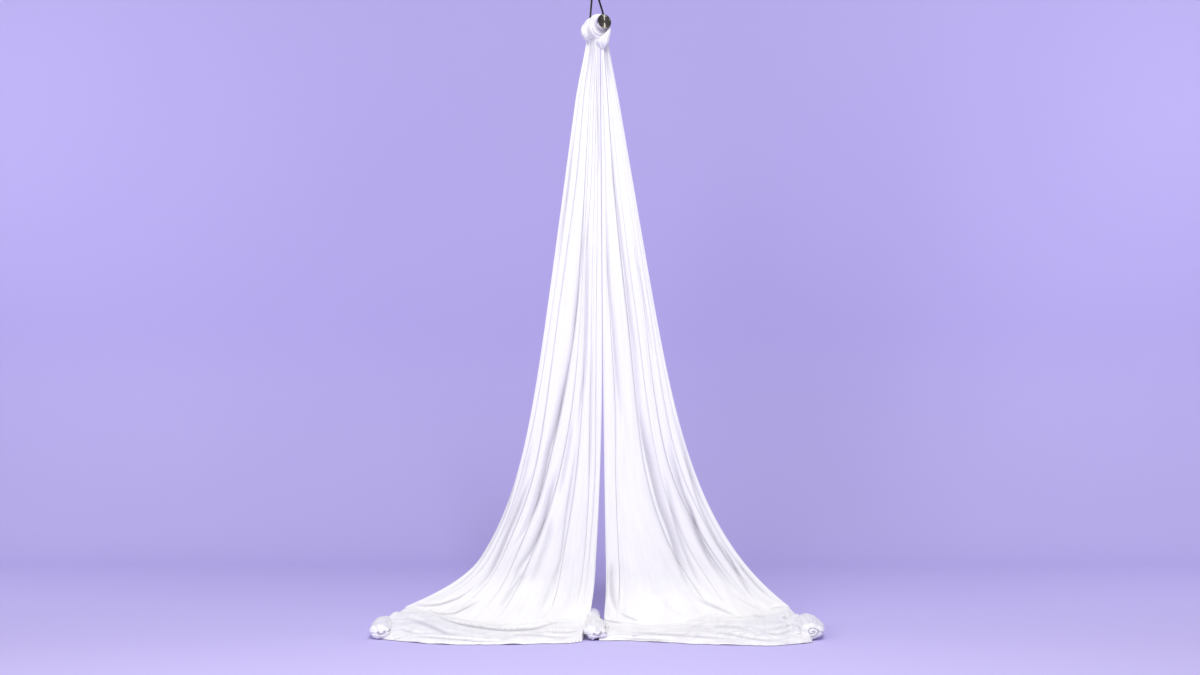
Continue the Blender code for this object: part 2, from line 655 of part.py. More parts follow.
def crossing_band():
    """The band of cloth that comes down from the right of the front turn and crosses the throat."""
    front = -CAP_INNER + BAND_WIDTH / 2 + 2 * OVERRUN
    hug = BAR_RADIUS + TURN_THICKNESS
    route = [(hug * right, front * ahead, hug * up) for right, ahead, up in BAND_SHARES]
    bm = bmesh.new()
    loops = []
    for k, point in enumerate(route):
        ahead = Vector(route[min(k + 1, len(route) - 1)]) - Vector(route[max(k - 1, 0)])
        ahead.normalize()
        across = Vector((0, 1, 0)) - ahead * ahead.y
        across.normalize()
        out = ahead.cross(across)
        loop = []
        for side in range(BAND_SIDES):
            angle = 2 * math.pi * side / BAND_SIDES
            offset = across * BAND_WIDTH * math.cos(angle) + out * BAND_THICKNESS * math.sin(angle)
            loop.append(bm.verts.new(Vector(point) + offset / 2))
        loops.append(loop)
    join(bm, loops)
    return finish("crossing_band", bm, None, bar_frame)


def below_the_seat():
    """Everything below the round seat on which the tails' tops turn."""
    reach = THROAT_BOTTOM_WIDTH
    outline = arc(THROAT_RADIUS, -SIDEWAYS - SEAT_REACH, -SIDEWAYS + SEAT_REACH, LARGE_SIDES)
    outline += [(reach, -reach), (-reach, -reach)]
    bm = plate(outline, -reach, reach)
    return finish("below_the_seat", bm, None, knot_frame, rotation=(SIDEWAYS, 0, 0))


def silk_hitch():
    end = CAP_INNER - RUNNING_GAP
    hitch = turn_of_cloth("silk_hitch", -end, TURN_OVERLAP / 2)
    weld(hitch, turn_of_cloth("back_turn", -TURN_OVERLAP / 2, end), throat(), crossing_band())
    room = cylinder(BAR_RADIUS + TOUCH_GAP, -CAP_INNER, CAP_INNER, LARGE_SIDES)
    bar_room = finish("bar_room", room, None, bar_frame, rotation=(-SIDEWAYS, 0, 0))
    cut(hitch, bar_room, below_the_seat())


def seat_room():
    """The round seat at the hitch's lower end, with its gap, taken out of the tails' tops."""
    half = THROAT_TOP_DEPTH
    bm = cylinder(THROAT_RADIUS + TOUCH_GAP, -half, half, 2 * LARGE_SIDES)
    return finish("seat_room", bm, None, knot_frame, rotation=(SIDEWAYS, 0, 0))


class Tail:
    """One tail of the cloth.

    Across runs from 0 at the parting to 1 at the outer edge, and drop from 0 at the knot to 1 at the floor.
    """

    def __init__(self, name, side, edges, folds, lie):
        self.name = name
        self.side = side
        self.top_width, self.spread, self.flare, self.power, self.part_width = edges
        self.folds, self.crowding = folds
        self.front, self.end_front, self.reach, self.roll_height = lie
        self.floor = FLOOR - KNOT.z

    def outer(self, drop):
        return self.side * (self.top_width + self.spread * drop + self.flare * drop**self.power)

    def inner(self, drop):
        parting = PART_TOP + PART_DRIFT * drop
        parted = max(0, drop - PART_START_SHARE) / (1 - PART_START_SHARE)
        opening = PART_GAP / 2 + self.part_width * parted**2
        return parting + self.side * opening

    def across(self, turns):
        """The place of a fold: they crowd towards the parting on the left and the outer edge on the right."""
        if self.side < 0:
            return turns**self.crowding
        return 1 - (1 - turns) ** self.crowding

    def hanging(self, turns, drop, height):
        x = mix(self.inner(drop), self.outer(drop), self.across(turns))
        depth = mix(FOLD_DEPTH_TOP, FOLD_DEPTH_FLOOR, drop) / 2
        y = -HANG_LEAN * drop + depth * math.cos(2 * math.pi * self.folds * turns)
        return Vector((x, y, height))

    def bending(self, turns, angle):
        place = self.hanging(turns, 1, 0)
        place.y -= FLOOR_BEND_RADIUS * (1 - math.cos(angle))
        place.z = self.floor + CLOTH_THICKNESS + (FLOOR_BEND_RADIUS - CLOTH_THICKNESS) * (1 - math.sin(angle))
        return place

    def lying(self, turns, along):
        """A point on the floor: along runs from 0 where the cloth touches down to 1 at its front edge."""
        start = self.hanging(turns, 1, 0)
        start.y -= FLOOR_BEND_RADIUS
        across = self.across(turns)
        end_x = mix(self.inner(1), self.side * self.reach, across)
        end_y = -mix(self.front, self.end_front, across**FRONT_POWER)
        wave = math.sin(math.pi * (WRINKLE_COUNT * along + self.folds / 2 * turns)) ** 2
        roll = self.roll_height * math.exp(-(((1 - across) / ROLL_SHARE) ** 2)) * ease(along)
        lift = CLOTH_THICKNESS + WRINKLE_HEIGHT * wave * math.sin(math.pi * along) + roll
        return Vector((mix(start.x, end_x, ease(along)), mix(start.y, end_y, along), self.floor + lift))

    def rows(self):
        low = self.floor + FLOOR_BEND_RADIUS
        span = -TAIL_TOP_DROP - self.floor
        for k in range(HANG_ROWS + 1):
            height = mix(-TAIL_TOP_DROP, low, (k / HANG_ROWS) ** HANG_ROW_POWER)
            drop = (-TAIL_TOP_DROP - height) / span
            yield lambda turns, drop=drop, height=height: self.hanging(turns, drop, height)
        for k in range(1, BEND_ROWS):
            angle = SIDEWAYS * k / BEND_ROWS
            yield lambda turns, angle=angle: self.bending(turns, angle)
        for k in range(LAY_ROWS + 1):
            yield lambda turns, along=k / LAY_ROWS: self.lying(turns, along)

    def make(self):
        columns = self.folds * FOLD_STEPS
        bm = bmesh.new()
        grid = [[bm.verts.new(row(k / columns)) for k in range(columns + 1)] for row in self.rows()]
        for upper, lower in zip(grid, grid[1:]):
            for k in range(columns):
                bm.faces.new((upper[k], upper[k + 1], lower[k + 1], lower[k]))
        obj = finish(self.name, bm, TRICOT, knot_frame)
        thicken = obj.modifiers.new("thickness", "SOLIDIFY")
        thicken.thickness = CLOTH_THICKNESS
        thicken.offset = 0
        cut(obj, seat_room())


def left_tail():
    edges = (LEFT_TOP_WIDTH, LEFT_SPREAD, LEFT_FLARE, LEFT_FLARE_POWER, LEFT_PART_WIDTH)
    lie = (LEFT_FRONT, LEFT_END_FRONT, LEFT_REACH, LEFT_ROLL_HEIGHT)
    Tail("left_tail", -1, edges, (LEFT_FOLDS, LEFT_CROWDING), lie).make()


def right_tail():
    edges = (RIGHT_TOP_WIDTH, RIGHT_SPREAD, RIGHT_FLARE, RIGHT_FLARE_POWER, RIGHT_PART_WIDTH)
    lie = (RIGHT_FRONT, RIGHT_END_FRONT, RIGHT_REACH, RIGHT_ROLL_HEIGHT)
    Tail("right_tail", 1, edges, (RIGHT_FOLDS, RIGHT_CROWDING), lie).make()


anchor_eye()
stem_nut()
nut_pin()
race("upper_race", UPPER_RACE_BOTTOM, UPPER_RACE_TOP)
bearing_balls()
bearing_cage()
race("lower_race", LOWER_RACE_TOP, LOWER_RACE_BOTTOM)
swivel_housing()
stem_seal()
housing_screws()
swivel_fork()
fork_pin()
pin_ring()
bail()
cap("front_cap", -1)
cap("back_cap", 1)
foot_screws()
crossbar()
tie_rod()
silk_hitch()
left_tail()
right_tail()

places = {"fork pin": FORK_PIN_HEIGHT, "floor": FLOOR}
print("heights", {name: round(height, 5) for name, height in places.items()})
print("bar middle", tuple(round(v, 5) for v in BAR_MIDDLE), "knot", tuple(round(v, 5) for v in KNOT))
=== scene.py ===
"""The looks of the aerial silks.

White tricot is hitched round a crossbar, and its two tails come down to the floor and lie there. The bar,
the bail, the swivel and the eye above are steel.
"""

import math

import bmesh
import bpy
import numpy as np
from mathutils import Matrix, Vector, noise


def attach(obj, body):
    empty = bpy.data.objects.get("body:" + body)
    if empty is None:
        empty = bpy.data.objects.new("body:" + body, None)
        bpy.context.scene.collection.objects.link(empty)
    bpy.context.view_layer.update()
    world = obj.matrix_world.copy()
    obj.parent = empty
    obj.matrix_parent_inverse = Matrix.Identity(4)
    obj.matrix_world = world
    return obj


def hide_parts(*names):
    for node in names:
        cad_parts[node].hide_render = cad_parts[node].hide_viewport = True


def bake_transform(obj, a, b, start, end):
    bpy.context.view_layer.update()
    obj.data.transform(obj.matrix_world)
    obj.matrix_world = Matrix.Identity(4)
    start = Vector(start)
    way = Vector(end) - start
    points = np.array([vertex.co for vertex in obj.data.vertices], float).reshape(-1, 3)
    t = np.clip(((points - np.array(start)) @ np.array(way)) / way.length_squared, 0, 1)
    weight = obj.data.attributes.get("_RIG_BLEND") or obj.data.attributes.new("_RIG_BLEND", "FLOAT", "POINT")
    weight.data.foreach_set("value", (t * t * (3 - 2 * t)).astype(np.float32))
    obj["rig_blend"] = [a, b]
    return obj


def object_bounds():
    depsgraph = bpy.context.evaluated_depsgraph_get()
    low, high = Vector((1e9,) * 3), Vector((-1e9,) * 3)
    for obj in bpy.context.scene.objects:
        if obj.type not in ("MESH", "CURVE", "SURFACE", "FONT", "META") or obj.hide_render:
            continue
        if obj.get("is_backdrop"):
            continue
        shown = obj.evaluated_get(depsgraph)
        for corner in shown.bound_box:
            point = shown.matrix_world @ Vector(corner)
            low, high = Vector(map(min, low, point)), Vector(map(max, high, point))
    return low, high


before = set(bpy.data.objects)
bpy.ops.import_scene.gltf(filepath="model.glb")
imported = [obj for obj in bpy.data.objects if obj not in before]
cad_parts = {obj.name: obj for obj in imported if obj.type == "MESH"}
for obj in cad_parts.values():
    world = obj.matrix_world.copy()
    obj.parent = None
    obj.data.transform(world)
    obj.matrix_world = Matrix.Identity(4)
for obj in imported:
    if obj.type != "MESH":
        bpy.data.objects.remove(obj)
cad_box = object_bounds()

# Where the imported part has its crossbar, its knot and the floor, in metres
BAR_TURN = math.radians(27)
BAR_TILT = math.radians(10)
BAR_MIDDLE = Vector((0.0149, -0.02924, -0.30193))
KNOT = Vector((0.0149, -0.02024, -0.32893))
FLOOR = -3.27193
BAR = (
    Matrix.Translation(BAR_MIDDLE)
    @ Matrix.Rotation(BAR_TURN, 4, "Z")
    @ Matrix.Rotation(-BAR_TILT, 4, "X")
)

# The photograph's frame: the camera's place in metres, then the picture's middle and focal length in pixels
EYE_HEIGHT = 1.42
CAMERA_BACK = 10.0
CAMERA_SIDE = 0.0297
PHOTO_MIDDLE = (600, 337.5)
FOCAL = 2000
SENSOR = 36

MM = 1000


def mix(a, b, share):
    return a + (b - a) * share


def smooth(share):
    return share * share * (3 - 2 * share)


def ease(share):
    """Nought up to 0 and one from 1 on, with a smooth rise between."""
    return smooth(min(1, max(0, share)))


def track(stations, share):
    """A smooth value along evenly spaced stations."""
    last = len(stations) - 1
    place = min(1, max(0, share)) * last
    k = min(int(place), last - 1)
    t = place - k
    a, b, c, d = stations[max(k - 1, 0)], stations[k], stations[k + 1], stations[min(k + 2, last)]
    return b + t * (c - a + t * (2 * a - 5 * b + 4 * c - d + t * (3 * (b - c) + d - a))) / 2


def track_path(path, share, count):
    """The first numbers of a path's stations, each followed smoothly."""
    return [track([station[i] for station in path], share) for i in range(count)]


def wrinkle(x, y, z=0.0):
    return noise.noise(Vector((x, y, z)))


def valley(level):
    """One in a sharp valley where a noise crosses nought, and nought away from it."""
    return (1 - min(1, abs(level) * 5)) ** 1.6


class Socket:
    """A node's output that takes part in sums and products."""

    def __init__(self, finish, output):
        self.finish = finish
        self.output = output

    def reckon(self, operation, first, second):
        return self.finish.node("Math", {"operation": operation}, {0: first, 1: second})

    def __add__(self, other):
        return self.reckon("ADD", self, other)

    def __radd__(self, other):
        return self.reckon("ADD", other, self)

    def __mul__(self, other):
        return self.reckon("MULTIPLY", self, other)

    def __rmul__(self, other):
        return self.reckon("MULTIPLY", other, self)


# The Mix node's sockets for colours
MIX_SHARE, MIX_FIRST, MIX_SECOND, MIX_RESULT = 0, 6, 7, 2


class Finish:
    """A material built on one Principled shader; constants go straight on the shader's sockets."""

    def __init__(self, name, **constants):
        self.material = bpy.data.materials.new(name)
        self.material.use_nodes = True
        self.tree = self.material.node_tree
        self.shader = self.tree.nodes["Principled BSDF"]
        self.set(**constants)

    def join(self, target, value):
        if isinstance(value, Socket):
            self.tree.links.new(value.output, target)
        else:
            target.default_value = value

    def set(self, **values):
        for name, value in values.items():
            self.join(self.shader.inputs[name.replace("_", " ").title().replace("Ior", "IOR")], value)

    def node(self, kind, settings, sockets, output=0):
        made = self.tree.nodes.new("ShaderNode" + kind)
        for name, value in settings.items():
            setattr(made, name, value)
        for key, value in sockets.items():
            self.join(made.inputs[key], value)
        return Socket(self, made.outputs[output])

    def place(self):
        return self.node("TexCoord", {}, {}, "Object")

    def cloth(self):
        return self.node("UVMap", {"uv_map": "cloth"}, {})

    def scaled(self, vector, scale):
        return self.node("Mapping", {}, {"Vector": vector, "Scale": scale})

    def noise(self, vector, scale, detail=3.0, roughness=0.5):
        sockets = {"Vector": vector, "Scale": scale, "Detail": detail, "Roughness": roughness}
        return self.node("TexNoise", {}, sockets)

    def range(self, value, low, high, start=0.0, end=1.0):
        """The value's span from start to end laid on low to high, and held past both."""
        sockets = {"Value": value, "From Min": start, "From Max": end, "To Min": low, "To Max": high}
        return self.node("MapRange", {}, sockets)

    def blend(self, share, *colours):
        first, second = (c if isinstance(c, Socket) else (*c, 1) for c in colours)
        sockets = {MIX_SHARE: share, MIX_FIRST: first, MIX_SECOND: second}
        return self.node("Mix", {"data_type": "RGBA"}, sockets, MIX_RESULT)

    def vector(self, operation, sockets, output="Vector"):
        return self.node("VectorMath", {"operation": operation}, sockets, output)

    def bump(self, height, distance, strength=1.0):
        return self.node("Bump", {}, {"Height": height, "Distance": distance, "Strength": strength})


def tricot():
    """White nylon tricot: a fine lengthwise knit with a satin sheen. Shade is painted along its creases and, a
    little, in the hollows of its knit.
    """
    hollow_shade_white, full_white, crease_shade_grey = (0.81, 0.80, 0.82), (0.90, 0.895, 0.905), (0.47, 0.455, 0.51)
    made = Finish("white_tricot", sheen_weight=0.35, sheen_roughness=0.35, specular_ior_level=0.35)
    cloth = made.cloth()
    streaks = made.noise(made.scaled(cloth, (260.0, 6.0, 1.0)), 1.0, 4.0, 0.6)
    puckers = made.noise(made.scaled(cloth, (50.0, 14.0, 1.0)), 1.0, 3.0, 0.55)
    bands = {"wave_type": "BANDS", "bands_direction": "X"}
    knit = made.node("TexWave", bands, {"Vector": cloth, "Scale": 480.0})
    height = streaks * 0.15 + puckers * 0.6 + knit * 0.05
    # Painted shade: the knit's streaks and puckers are a little greyer where their bumps are low
    shade = made.range(streaks * 0.4 + puckers * 0.6, 0.0, 1.0, 0.34, 0.66)
    # Painted shade along the creases, from a value that the cloth pieces carry at their vertices
    crease_shade = made.node("Attribute", {"attribute_name": "crease_shade"}, {}, "Fac")
    made.set(
        base_color=made.blend(crease_shade, made.blend(shade, hollow_shade_white, full_white), crease_shade_grey),
        roughness=made.range(puckers, 0.48, 0.62),
        normal=made.bump(height, 0.0018, 0.55),
    )
    return made.material


def steel(name, colour, wear_and_painted_shade, roughness, grain, depth):
    """Steel or brass with a fine grain of that scale and depth, and roughness that wanders about its value."""
    made = Finish(name, metallic=1.0)
    place = made.place()
    fine = made.noise(place, grain, 5.0, 0.6)
    broad = made.noise(place, grain / 12, 3.0)
    wander = made.range(broad * 0.6 + fine * 0.4, roughness * 0.75, roughness * 1.3, 0.3, 0.7)
    made.set(
        base_color=made.blend(made.range(broad, 0.0, 1.0, 0.35, 0.65), colour, wear_and_painted_shade),
        roughness=wander,
        normal=made.bump(fine, depth, 0.5),
    )
    return made.material


def lathe_turned():
    """The caps' dark steel: fine grooves from the lathe run round the bar's line and tilt the face in and out."""
    groove_scale, groove_tilt = 3200.0, 0.185
    dark, warm, bright = (0.15, 0.146, 0.15), (0.30, 0.275, 0.24), (0.80, 0.79, 0.78)
    made = Finish("lathe_turned_steel", metallic=1.0)
    place = made.place()
    line = tuple(BAR.to_3x3() @ Vector((0, 1, 0)))

    # Outwards from the bar's line, and how far
    offset = made.vector("SUBTRACT", {0: place, 1: tuple(BAR_MIDDLE)})
    along = made.vector("DOT_PRODUCT", {0: offset, 1: line}, "Value")
    foot = made.vector("SCALE", {0: line, "Scale": along})
    outward = made.vector("SUBTRACT", {0: offset, 1: foot})
    radius = made.vector("LENGTH", {0: outward}, "Value")
    outward = made.vector("NORMALIZE", {0: outward})
    to_world = {"vector_type": "VECTOR", "convert_from": "OBJECT", "convert_to": "WORLD"}
    outward = made.node("VectorTransform", to_world, {0: outward})

    groove_sockets = {"W": radius * groove_scale, "Scale": 1.0, "Detail": 2.0}
    groove = made.node("TexNoise", {"noise_dimensions": "1D"}, groove_sockets)
    slope = made.range(groove, -groove_tilt, groove_tilt, 0.43, 0.57)
    normal = made.node("NewGeometry", {}, {}, "Normal")
    tilted = made.vector("ADD", {0: normal, 1: made.vector("SCALE", {0: outward, "Scale": slope})})

    facing = made.vector("DOT_PRODUCT", {0: normal, 1: line}, "Value")
    side_wall = made.range(facing * facing, 1.0, 0.0, 0.10, 0.30)
    wear_and_painted_shade = made.range(made.noise(place, 40.0, 3.0), 0.0, 1.0, 0.35, 0.65)
    made.set(
        base_color=made.blend(side_wall, made.blend(wear_and_painted_shade, dark, warm), bright),
        roughness=made.range(wear_and_painted_shade, 0.13, 0.18, 0.3, 0.7),
        normal=made.vector("NORMALIZE", {0: tilted}),
    )
    return made.material


def rubber():
    made = Finish("seal_rubber", specular_ior_level=0.4)
    dust = made.noise(made.place(), 900.0, 3.0)
    made.set(
        base_color=made.blend(dust, (0.014, 0.014, 0.015), (0.04, 0.04, 0.042)),
        roughness=made.range(dust, 0.55, 0.8),
        normal=made.bump(dust, 0.0001, 0.4),
    )
    return made.material


def keep(obj, material):
    """A CAD node shows as it is, in that material."""
    obj.data.materials.clear()
    obj.data.materials.append(material)


def piece(name, bm, material):
    mesh = bpy.data.meshes.new(name)
    bm.to_mesh(mesh)
    bm.free()
    mesh.shade_smooth()
    obj = bpy.data.objects.new(name, mesh)
    mesh.materials.append(material)
    bpy.context.scene.collection.objects.link(obj)
    return obj


def cloth_grid(columns, rows):
    """A grid of cloth with its UV map; returns the bmesh and its rows of vertices, top row first."""
    bm = bmesh.new()
    bm.loops.layers.uv.new("cloth")
    # A layer for the shade painted along the cloth's creases
    bm.verts.layers.float.new("crease_shade")
    bmesh.ops.create_grid(bm, x_segments=columns, y_segments=rows, size=1, calc_uvs=True)
    bm.verts.ensure_lookup_table()
    wide = columns + 1
    lines = [bm.verts[k * wide : (k + 1) * wide] for k in range(rows + 1)]
    return bm, lines[::-1]


def closed(name, bm, material):
    """A piece whose seam and poles are merged."""
    bmesh.ops.remove_doubles(bm, verts=bm.verts, dist=1e-6)
    return piece(name, bm, material)


def spot(x, y, height):
    """The point that shows at that place in the photograph and is that high above the floor, in millimetres."""
    height /= MM
    depth = FOCAL * (EYE_HEIGHT - height) / (y - PHOTO_MIDDLE[1])
    return Vector(((x - PHOTO_MIDDLE[0]) * depth / FOCAL + CAMERA_SIDE, depth - CAMERA_BACK, FLOOR + height))


def shown(points):
    """Where points show in the photograph."""
    depth = CAMERA_BACK + points[..., 1]
    x = PHOTO_MIDDLE[0] + FOCAL * (points[..., 0] - CAMERA_SIDE) / depth
    return x, PHOTO_MIDDLE[1] + FOCAL * (FLOOR + EYE_HEIGHT - points[..., 2]) / depth


# A fold that is pressed into the cloth: steps to a station, how fast its ends fade in, a widening of all
# widths, and how sharp it is
FOLD_STEPS = 8
FOLD_FADE = 3
FOLD_WIDTH = 1.3
FOLD_SHARPNESS = 2.2
LIP_SHARPNESS = 1.5
LIP_RISE = 3


def pressed(along, across, folds, narrowing, lip=0.0):
    """How deep the folds press the cloth, in metres, where it shows at along and across in the photograph.

    A fold is (stations, depth in mm, width before, width after). A ridge has a depth below nought.
    With a lip, the cloth before the fold's line stands up over it as a step.
    """
    total = np.zeros(along.shape)
    for stations, depth, before, after in folds:
        steps = np.linspace(0, 1, FOLD_STEPS * len(stations))
        line = [[track([s[i] for s in stations], step) for step in steps] for i in (0, 1)]
        start, end = line[0][0], line[0][-1]
        share = np.clip((along - start) / (end - start), 0, 1)
        envelope = smooth(np.clip(np.minimum(share, 1 - share) * FOLD_FADE, 0, 1))
        away = (across - np.interp(along, line[0], line[1])) / narrowing / FOLD_WIDTH
        distance = np.where(away < 0, -away / before, away / after)
        near = np.clip(1 - distance, 0, 1)
        if depth < 0:
            form = smooth(near)
        elif lip:
            form = near**LIP_SHARPNESS * np.clip(LIP_RISE * distance * np.sign(away), -lip, 1)
        else:
            form = near**FOLD_SHARPNESS
        total += depth / MM * envelope * narrowing * form
    return total


# A tail's cut across: panels with tucks between them
PANEL_STEPS = 38
TUCK_STEPS = 8
SELVEDGE = 0.7
TUCK_DEPTHS = (0.062, 0.070, 0.074, 0.072, 0.060)
TUCK_MOUTH = 0.0006
TUCK_LOOP = (0.45, 0.030)
# Painted shade inside a tuck, and the share of a panel that the painted shade beside a tuck reaches
TUCK_GREY = 0.6
GREY_REACH = 0.14
SOFTNESS = (0.16, 0.75)
RIM = 0.8


def tuck_cut(ends, mouth, loop, depth):
    """A tuck's cut as (swing, deep): from its mouth in, round the loop and out, or half of that at a selvedge."""
    steps = round(TUCK_STEPS * (ends[1] - ends[0]))
    for step in range(steps + 1):
        q = mix(*ends, step / steps)
        turn = loop * math.sin(math.tau * q) * ease(4 * min(q, 1 - q))
        yield -math.cos(math.pi * q) * mouth / 2 - turn, depth * math.sin(math.pi * q) ** 0.8


def panel_cut(bulge, levels, softness, strengths):
    """A panel's cut as (share, back, grey): a swell that falls to the tuck at either side, with shade painted
    next to it.
    """
    rim = -RIM * bulge
    for step in range(1, PANEL_STEPS):
        m = step / PANEL_STEPS
        p = mix(m, (1 - math.cos(math.pi * m)) / 2, 0.4)
        back = -bulge * (1 - 0.2 * (2 * p - 1) ** 2)
        grey = 0.0
        for q, level, soft, strength in zip((p, 1 - p), levels, softness, strengths):
            back += (level - rim) * max(0, 1 - q / soft) ** 2.2
            grey += strength * max(0, 1 - q / GREY_REACH) ** 1.6
        yield p, back, grey


# A tail's rows, and how they crowd towards where the cloth lands and towards the front edge
HANG_ROWS = 152
HANG_CROWDING = 1.8
LAY_ROWS = 84
LAY_CROWDING = 1.1

# A tail's place: its top below the knot, how far forward its foot hangs, the parting's place and its drift
# sideways, the least half of the parting's gap, the hem's width, and how far the cloth clears the floor
TAIL_TOP = 0.012
HANG_LEAN = 0.075
PARTING, PARTING_DRIFT, PARTING_GAP = 0.016, 0.021, 0.001
HEM_WIDTH = 0.024
FLOOR_GAP = 0.0015
PUFF = 6

# The share of the drop over which the knot gathers the cloth in, and the shares where the tucks open and
# the cloth starts to land
GATHER_REACH = 0.12
OPENING, OPENING_REACH = 0.90, 0.08
LANDING, LANDING_REACH = 0.92, 0.08

# How strongly the pressed folds show: the falls' depth and the floor lines' depth and lip, the painted shade of
# both, and the rows over which they turn from pressing back to pressing down
FALL_DEPTH, LINE_DEPTH, LINE_LIP = 1.6, 1.4, 0.8
FALL_GREY, FALL_GREY_POWER, LINE_GREY = 32, 0.75, 130
TURN_ROWS = 24
NARROWEST = 0.3
TOP_PIXEL, DROP_PIXELS = 50, 570


class Tail:
    """One tail of the silk.

    Across runs from 0 at the parting to 1 at the outer edge, and drop from 0 at the knot to 1 at the floor.
    The cloth shows smooth panels with tucks between them; a tuck's place and strength follow stations down
    the drop. On the floor it follows a table of places: where it meets the floor, a hump, the middle, the
    hem and the front edge.
    """

    def __init__(self, side, smoothing, pinch, edges, tucks, laid, falls, lines):
        self.side, self.smoothing, self.pinch = side, smoothing, pinch
        self.top_width, self.spread, self.flare, self.power, self.part_width = edges
        self.tucks, self.falls, self.lines = tucks, falls, lines
        self.floor = FLOOR - KNOT.z
        self.laid = []
        for station in laid:
            places = [spot(x, y, height + PUFF) - KNOT for x, y, height in station]
            hem = places[-1].copy()
            places[-1].z = self.floor + FLOOR_GAP
            places.insert(-1, hem + Vector((0, HEM_WIDTH, 0)))
            self.laid.append(places)

    def outer(self, drop):
        return self.side * (self.top_width + self.spread * drop + self.flare * drop**self.power)

    def inner(self, drop):
        parting = PARTING + PARTING_DRIFT * drop
        return parting + self.side * (PARTING_GAP + self.part_width * max(0, drop * 2 - 1) ** 2)

    def section(self, drop, opened):
        """The cloth's cut across at one height, as (across, back, grey) for each column; grey is painted shade.

        Across is a share of the width, back is in metres, and opened is 1 where the tucks have come out flat.
        """
        width = abs(self.outer(drop) - self.inner(drop))
        shut = 1 - opened
        places = [0.0] + [track(t[0], drop) for t in self.tucks] + [1.0]
        strengths = [SELVEDGE] + [max(0, track(t[1], drop)) for t in self.tucks] + [SELVEDGE]
        leans = [0.0] + [t[2] for t in self.tucks] + [0.0]
        tuck_depth = track(TUCK_DEPTHS, drop) * shut
        spans = [b - a for a, b in zip(places, places[1:])]
        bulges = [min(0.40 * span * width, 0.004 + 0.085 * span * width) * (1 - 0.8 * opened) for span in spans]
        last = len(places) - 1
        levels = []
        for k, strength in enumerate(strengths):
            near = bulges[max(k - 1, 0)], bulges[min(k, last - 1)]
            levels.append(-(1 - strength) * RIM * sum(near) / 2)
        points = []
        mouth = TUCK_MOUTH / width
        for k, place in enumerate(places):
            room = min([spans[j] for j in (k - 1, k) if 0 <= j < last]) * width
            loop = min(TUCK_LOOP[0] * room, TUCK_LOOP[1]) / width * shut
            depth = mix(0.7, 1, strengths[k]) * tuck_depth
            ends = (0.5, 1) if k == 0 else (0, 0.5) if k == last else (0, 1)
            for swing, deep in tuck_cut(ends, mouth, loop, depth):
                points.append((place + swing, levels[k] + deep, TUCK_GREY * strengths[k] * shut))
            if k == last:
                break
            softness = mix(*SOFTNESS, 0.5 + 0.5 * leans[k]), mix(*SOFTNESS, 0.5 - 0.5 * leans[k + 1])
            left, right = place + mouth / 2, places[k + 1] - mouth / 2
            for p, back, grey in panel_cut(bulges[k], levels[k : k + 2], softness, strengths[k : k + 2]):
                points.append((mix(left, right, p), back, TUCK_GREY * grey * shut))
        return points

    def laid_place(self, across, k):
        return Vector([track([station[k][i] for station in self.laid], across) for i in range(3)])

    def hanging(self, share, feet):
        """One row of the hanging part; share is 0 at the knot and 1 where the cloth meets the floor."""
        row = []
        top = TAIL_TOP / -self.floor
        row_drop = top + share * (1 - top)
        section = self.section(row_drop, ease((share - OPENING) / OPENING_REACH))
        landing = max(0, (share - LANDING) / LANDING_REACH) ** 2
        for k, ((across, back, grey), foot) in enumerate(zip(section, feet)):
            z = mix(-TAIL_TOP, foot.z, share)
            low, drop = foot.z / self.floor, z / self.floor
            width = abs(self.outer(drop) - self.inner(drop))
            x = mix(self.inner(drop), self.outer(drop), across)
            x += (foot.x - mix(self.inner(low), self.outer(low), min(1, max(0, across)))) * landing

            # Waves of three sizes; lower down the pull of the cloth irons the middle size out
            cloth = k / len(section)
            sway = 0.005 * ease(drop * 3) * wrinkle(x * 8, z * 1.1, self.side * 5)
            slack = 1 - self.smoothing * ease((drop - 0.40) / 0.35)
            small = min(0.0035, 0.014 * width) * wrinkle(cloth * 44, z * 0.8, 3 + self.side) * slack
            fine = 0.0006 * wrinkle(x * 300, z * 1.3, 7)

            # The knot gathers the top in, flattens its tucks and draws the parting's side forward
            gather = 1 - ease(drop / GATHER_REACH)
            x -= self.side * self.pinch * gather * across
            back -= 0.65 * gather * max(0, back)
            back -= 0.055 * gather * ease((0.8 - across) / 0.5)

            round_back = mix(0.022, 0.004, ease(drop * 2)) * across * across
            y = -HANG_LEAN * drop + round_back + (foot.y + HANG_LEAN) * landing
            # Painted shade: the cloth is a little greyer all over, and greyer towards the floor
            grey = max(grey, 0.04 + 0.10 * ease((share - 0.78) / 0.14))
            row.append((x, y + back + (sway + small + fine) * (1 - landing), z, grey))
        return row

    def lying(self, along, feet):
        """One row of the cloth on the floor; along is 0 at its feet and 1 at its front edge."""
        row = []
        side = self.side
        for cut, foot in zip(self.section(1, 1), feet):
            across = min(1, max(0, cut[0]))
            path = [foot] + [self.laid_place(across, j) for j in range(1, 5)]
            point = Vector(track_path(path, along, 3))
            x, y = point.x, point.y
            rough = min(1, along * 5) * min(1, (1 - along) * 10)
            puffs = 0.007 * wrinkle(x * 3, y * 14, 4 + side) + 0.004 * wrinkle(x * 9, y * 30, 9)
            crumple = 0.010 * ease((across - 0.74) / 0.16) * wrinkle(x * 9, y * 9, 6)
            # A crease dents the cloth on the floor and has shade painted in it
            crease_shade = valley(wrinkle(x * 2.4 + 3, y * 8, 1.7 * side)) * 0.7
            crease_shade = max(crease_shade, 0.5 * valley(wrinkle(x * 5, y * 17, 5 + side)))
            if side < 0:
                crease_shade *= 1 - 0.8 * ease((across - 0.6) / 0.2)
            lift = 0.008 * max(0, wrinkle(x * 9, 3, side)) * ease((along - 0.75) / 0.25)
            point.y += (0.012 * wrinkle(across * 12, 5, side) + 0.008 * wrinkle(across * 45, 2, side)) * along

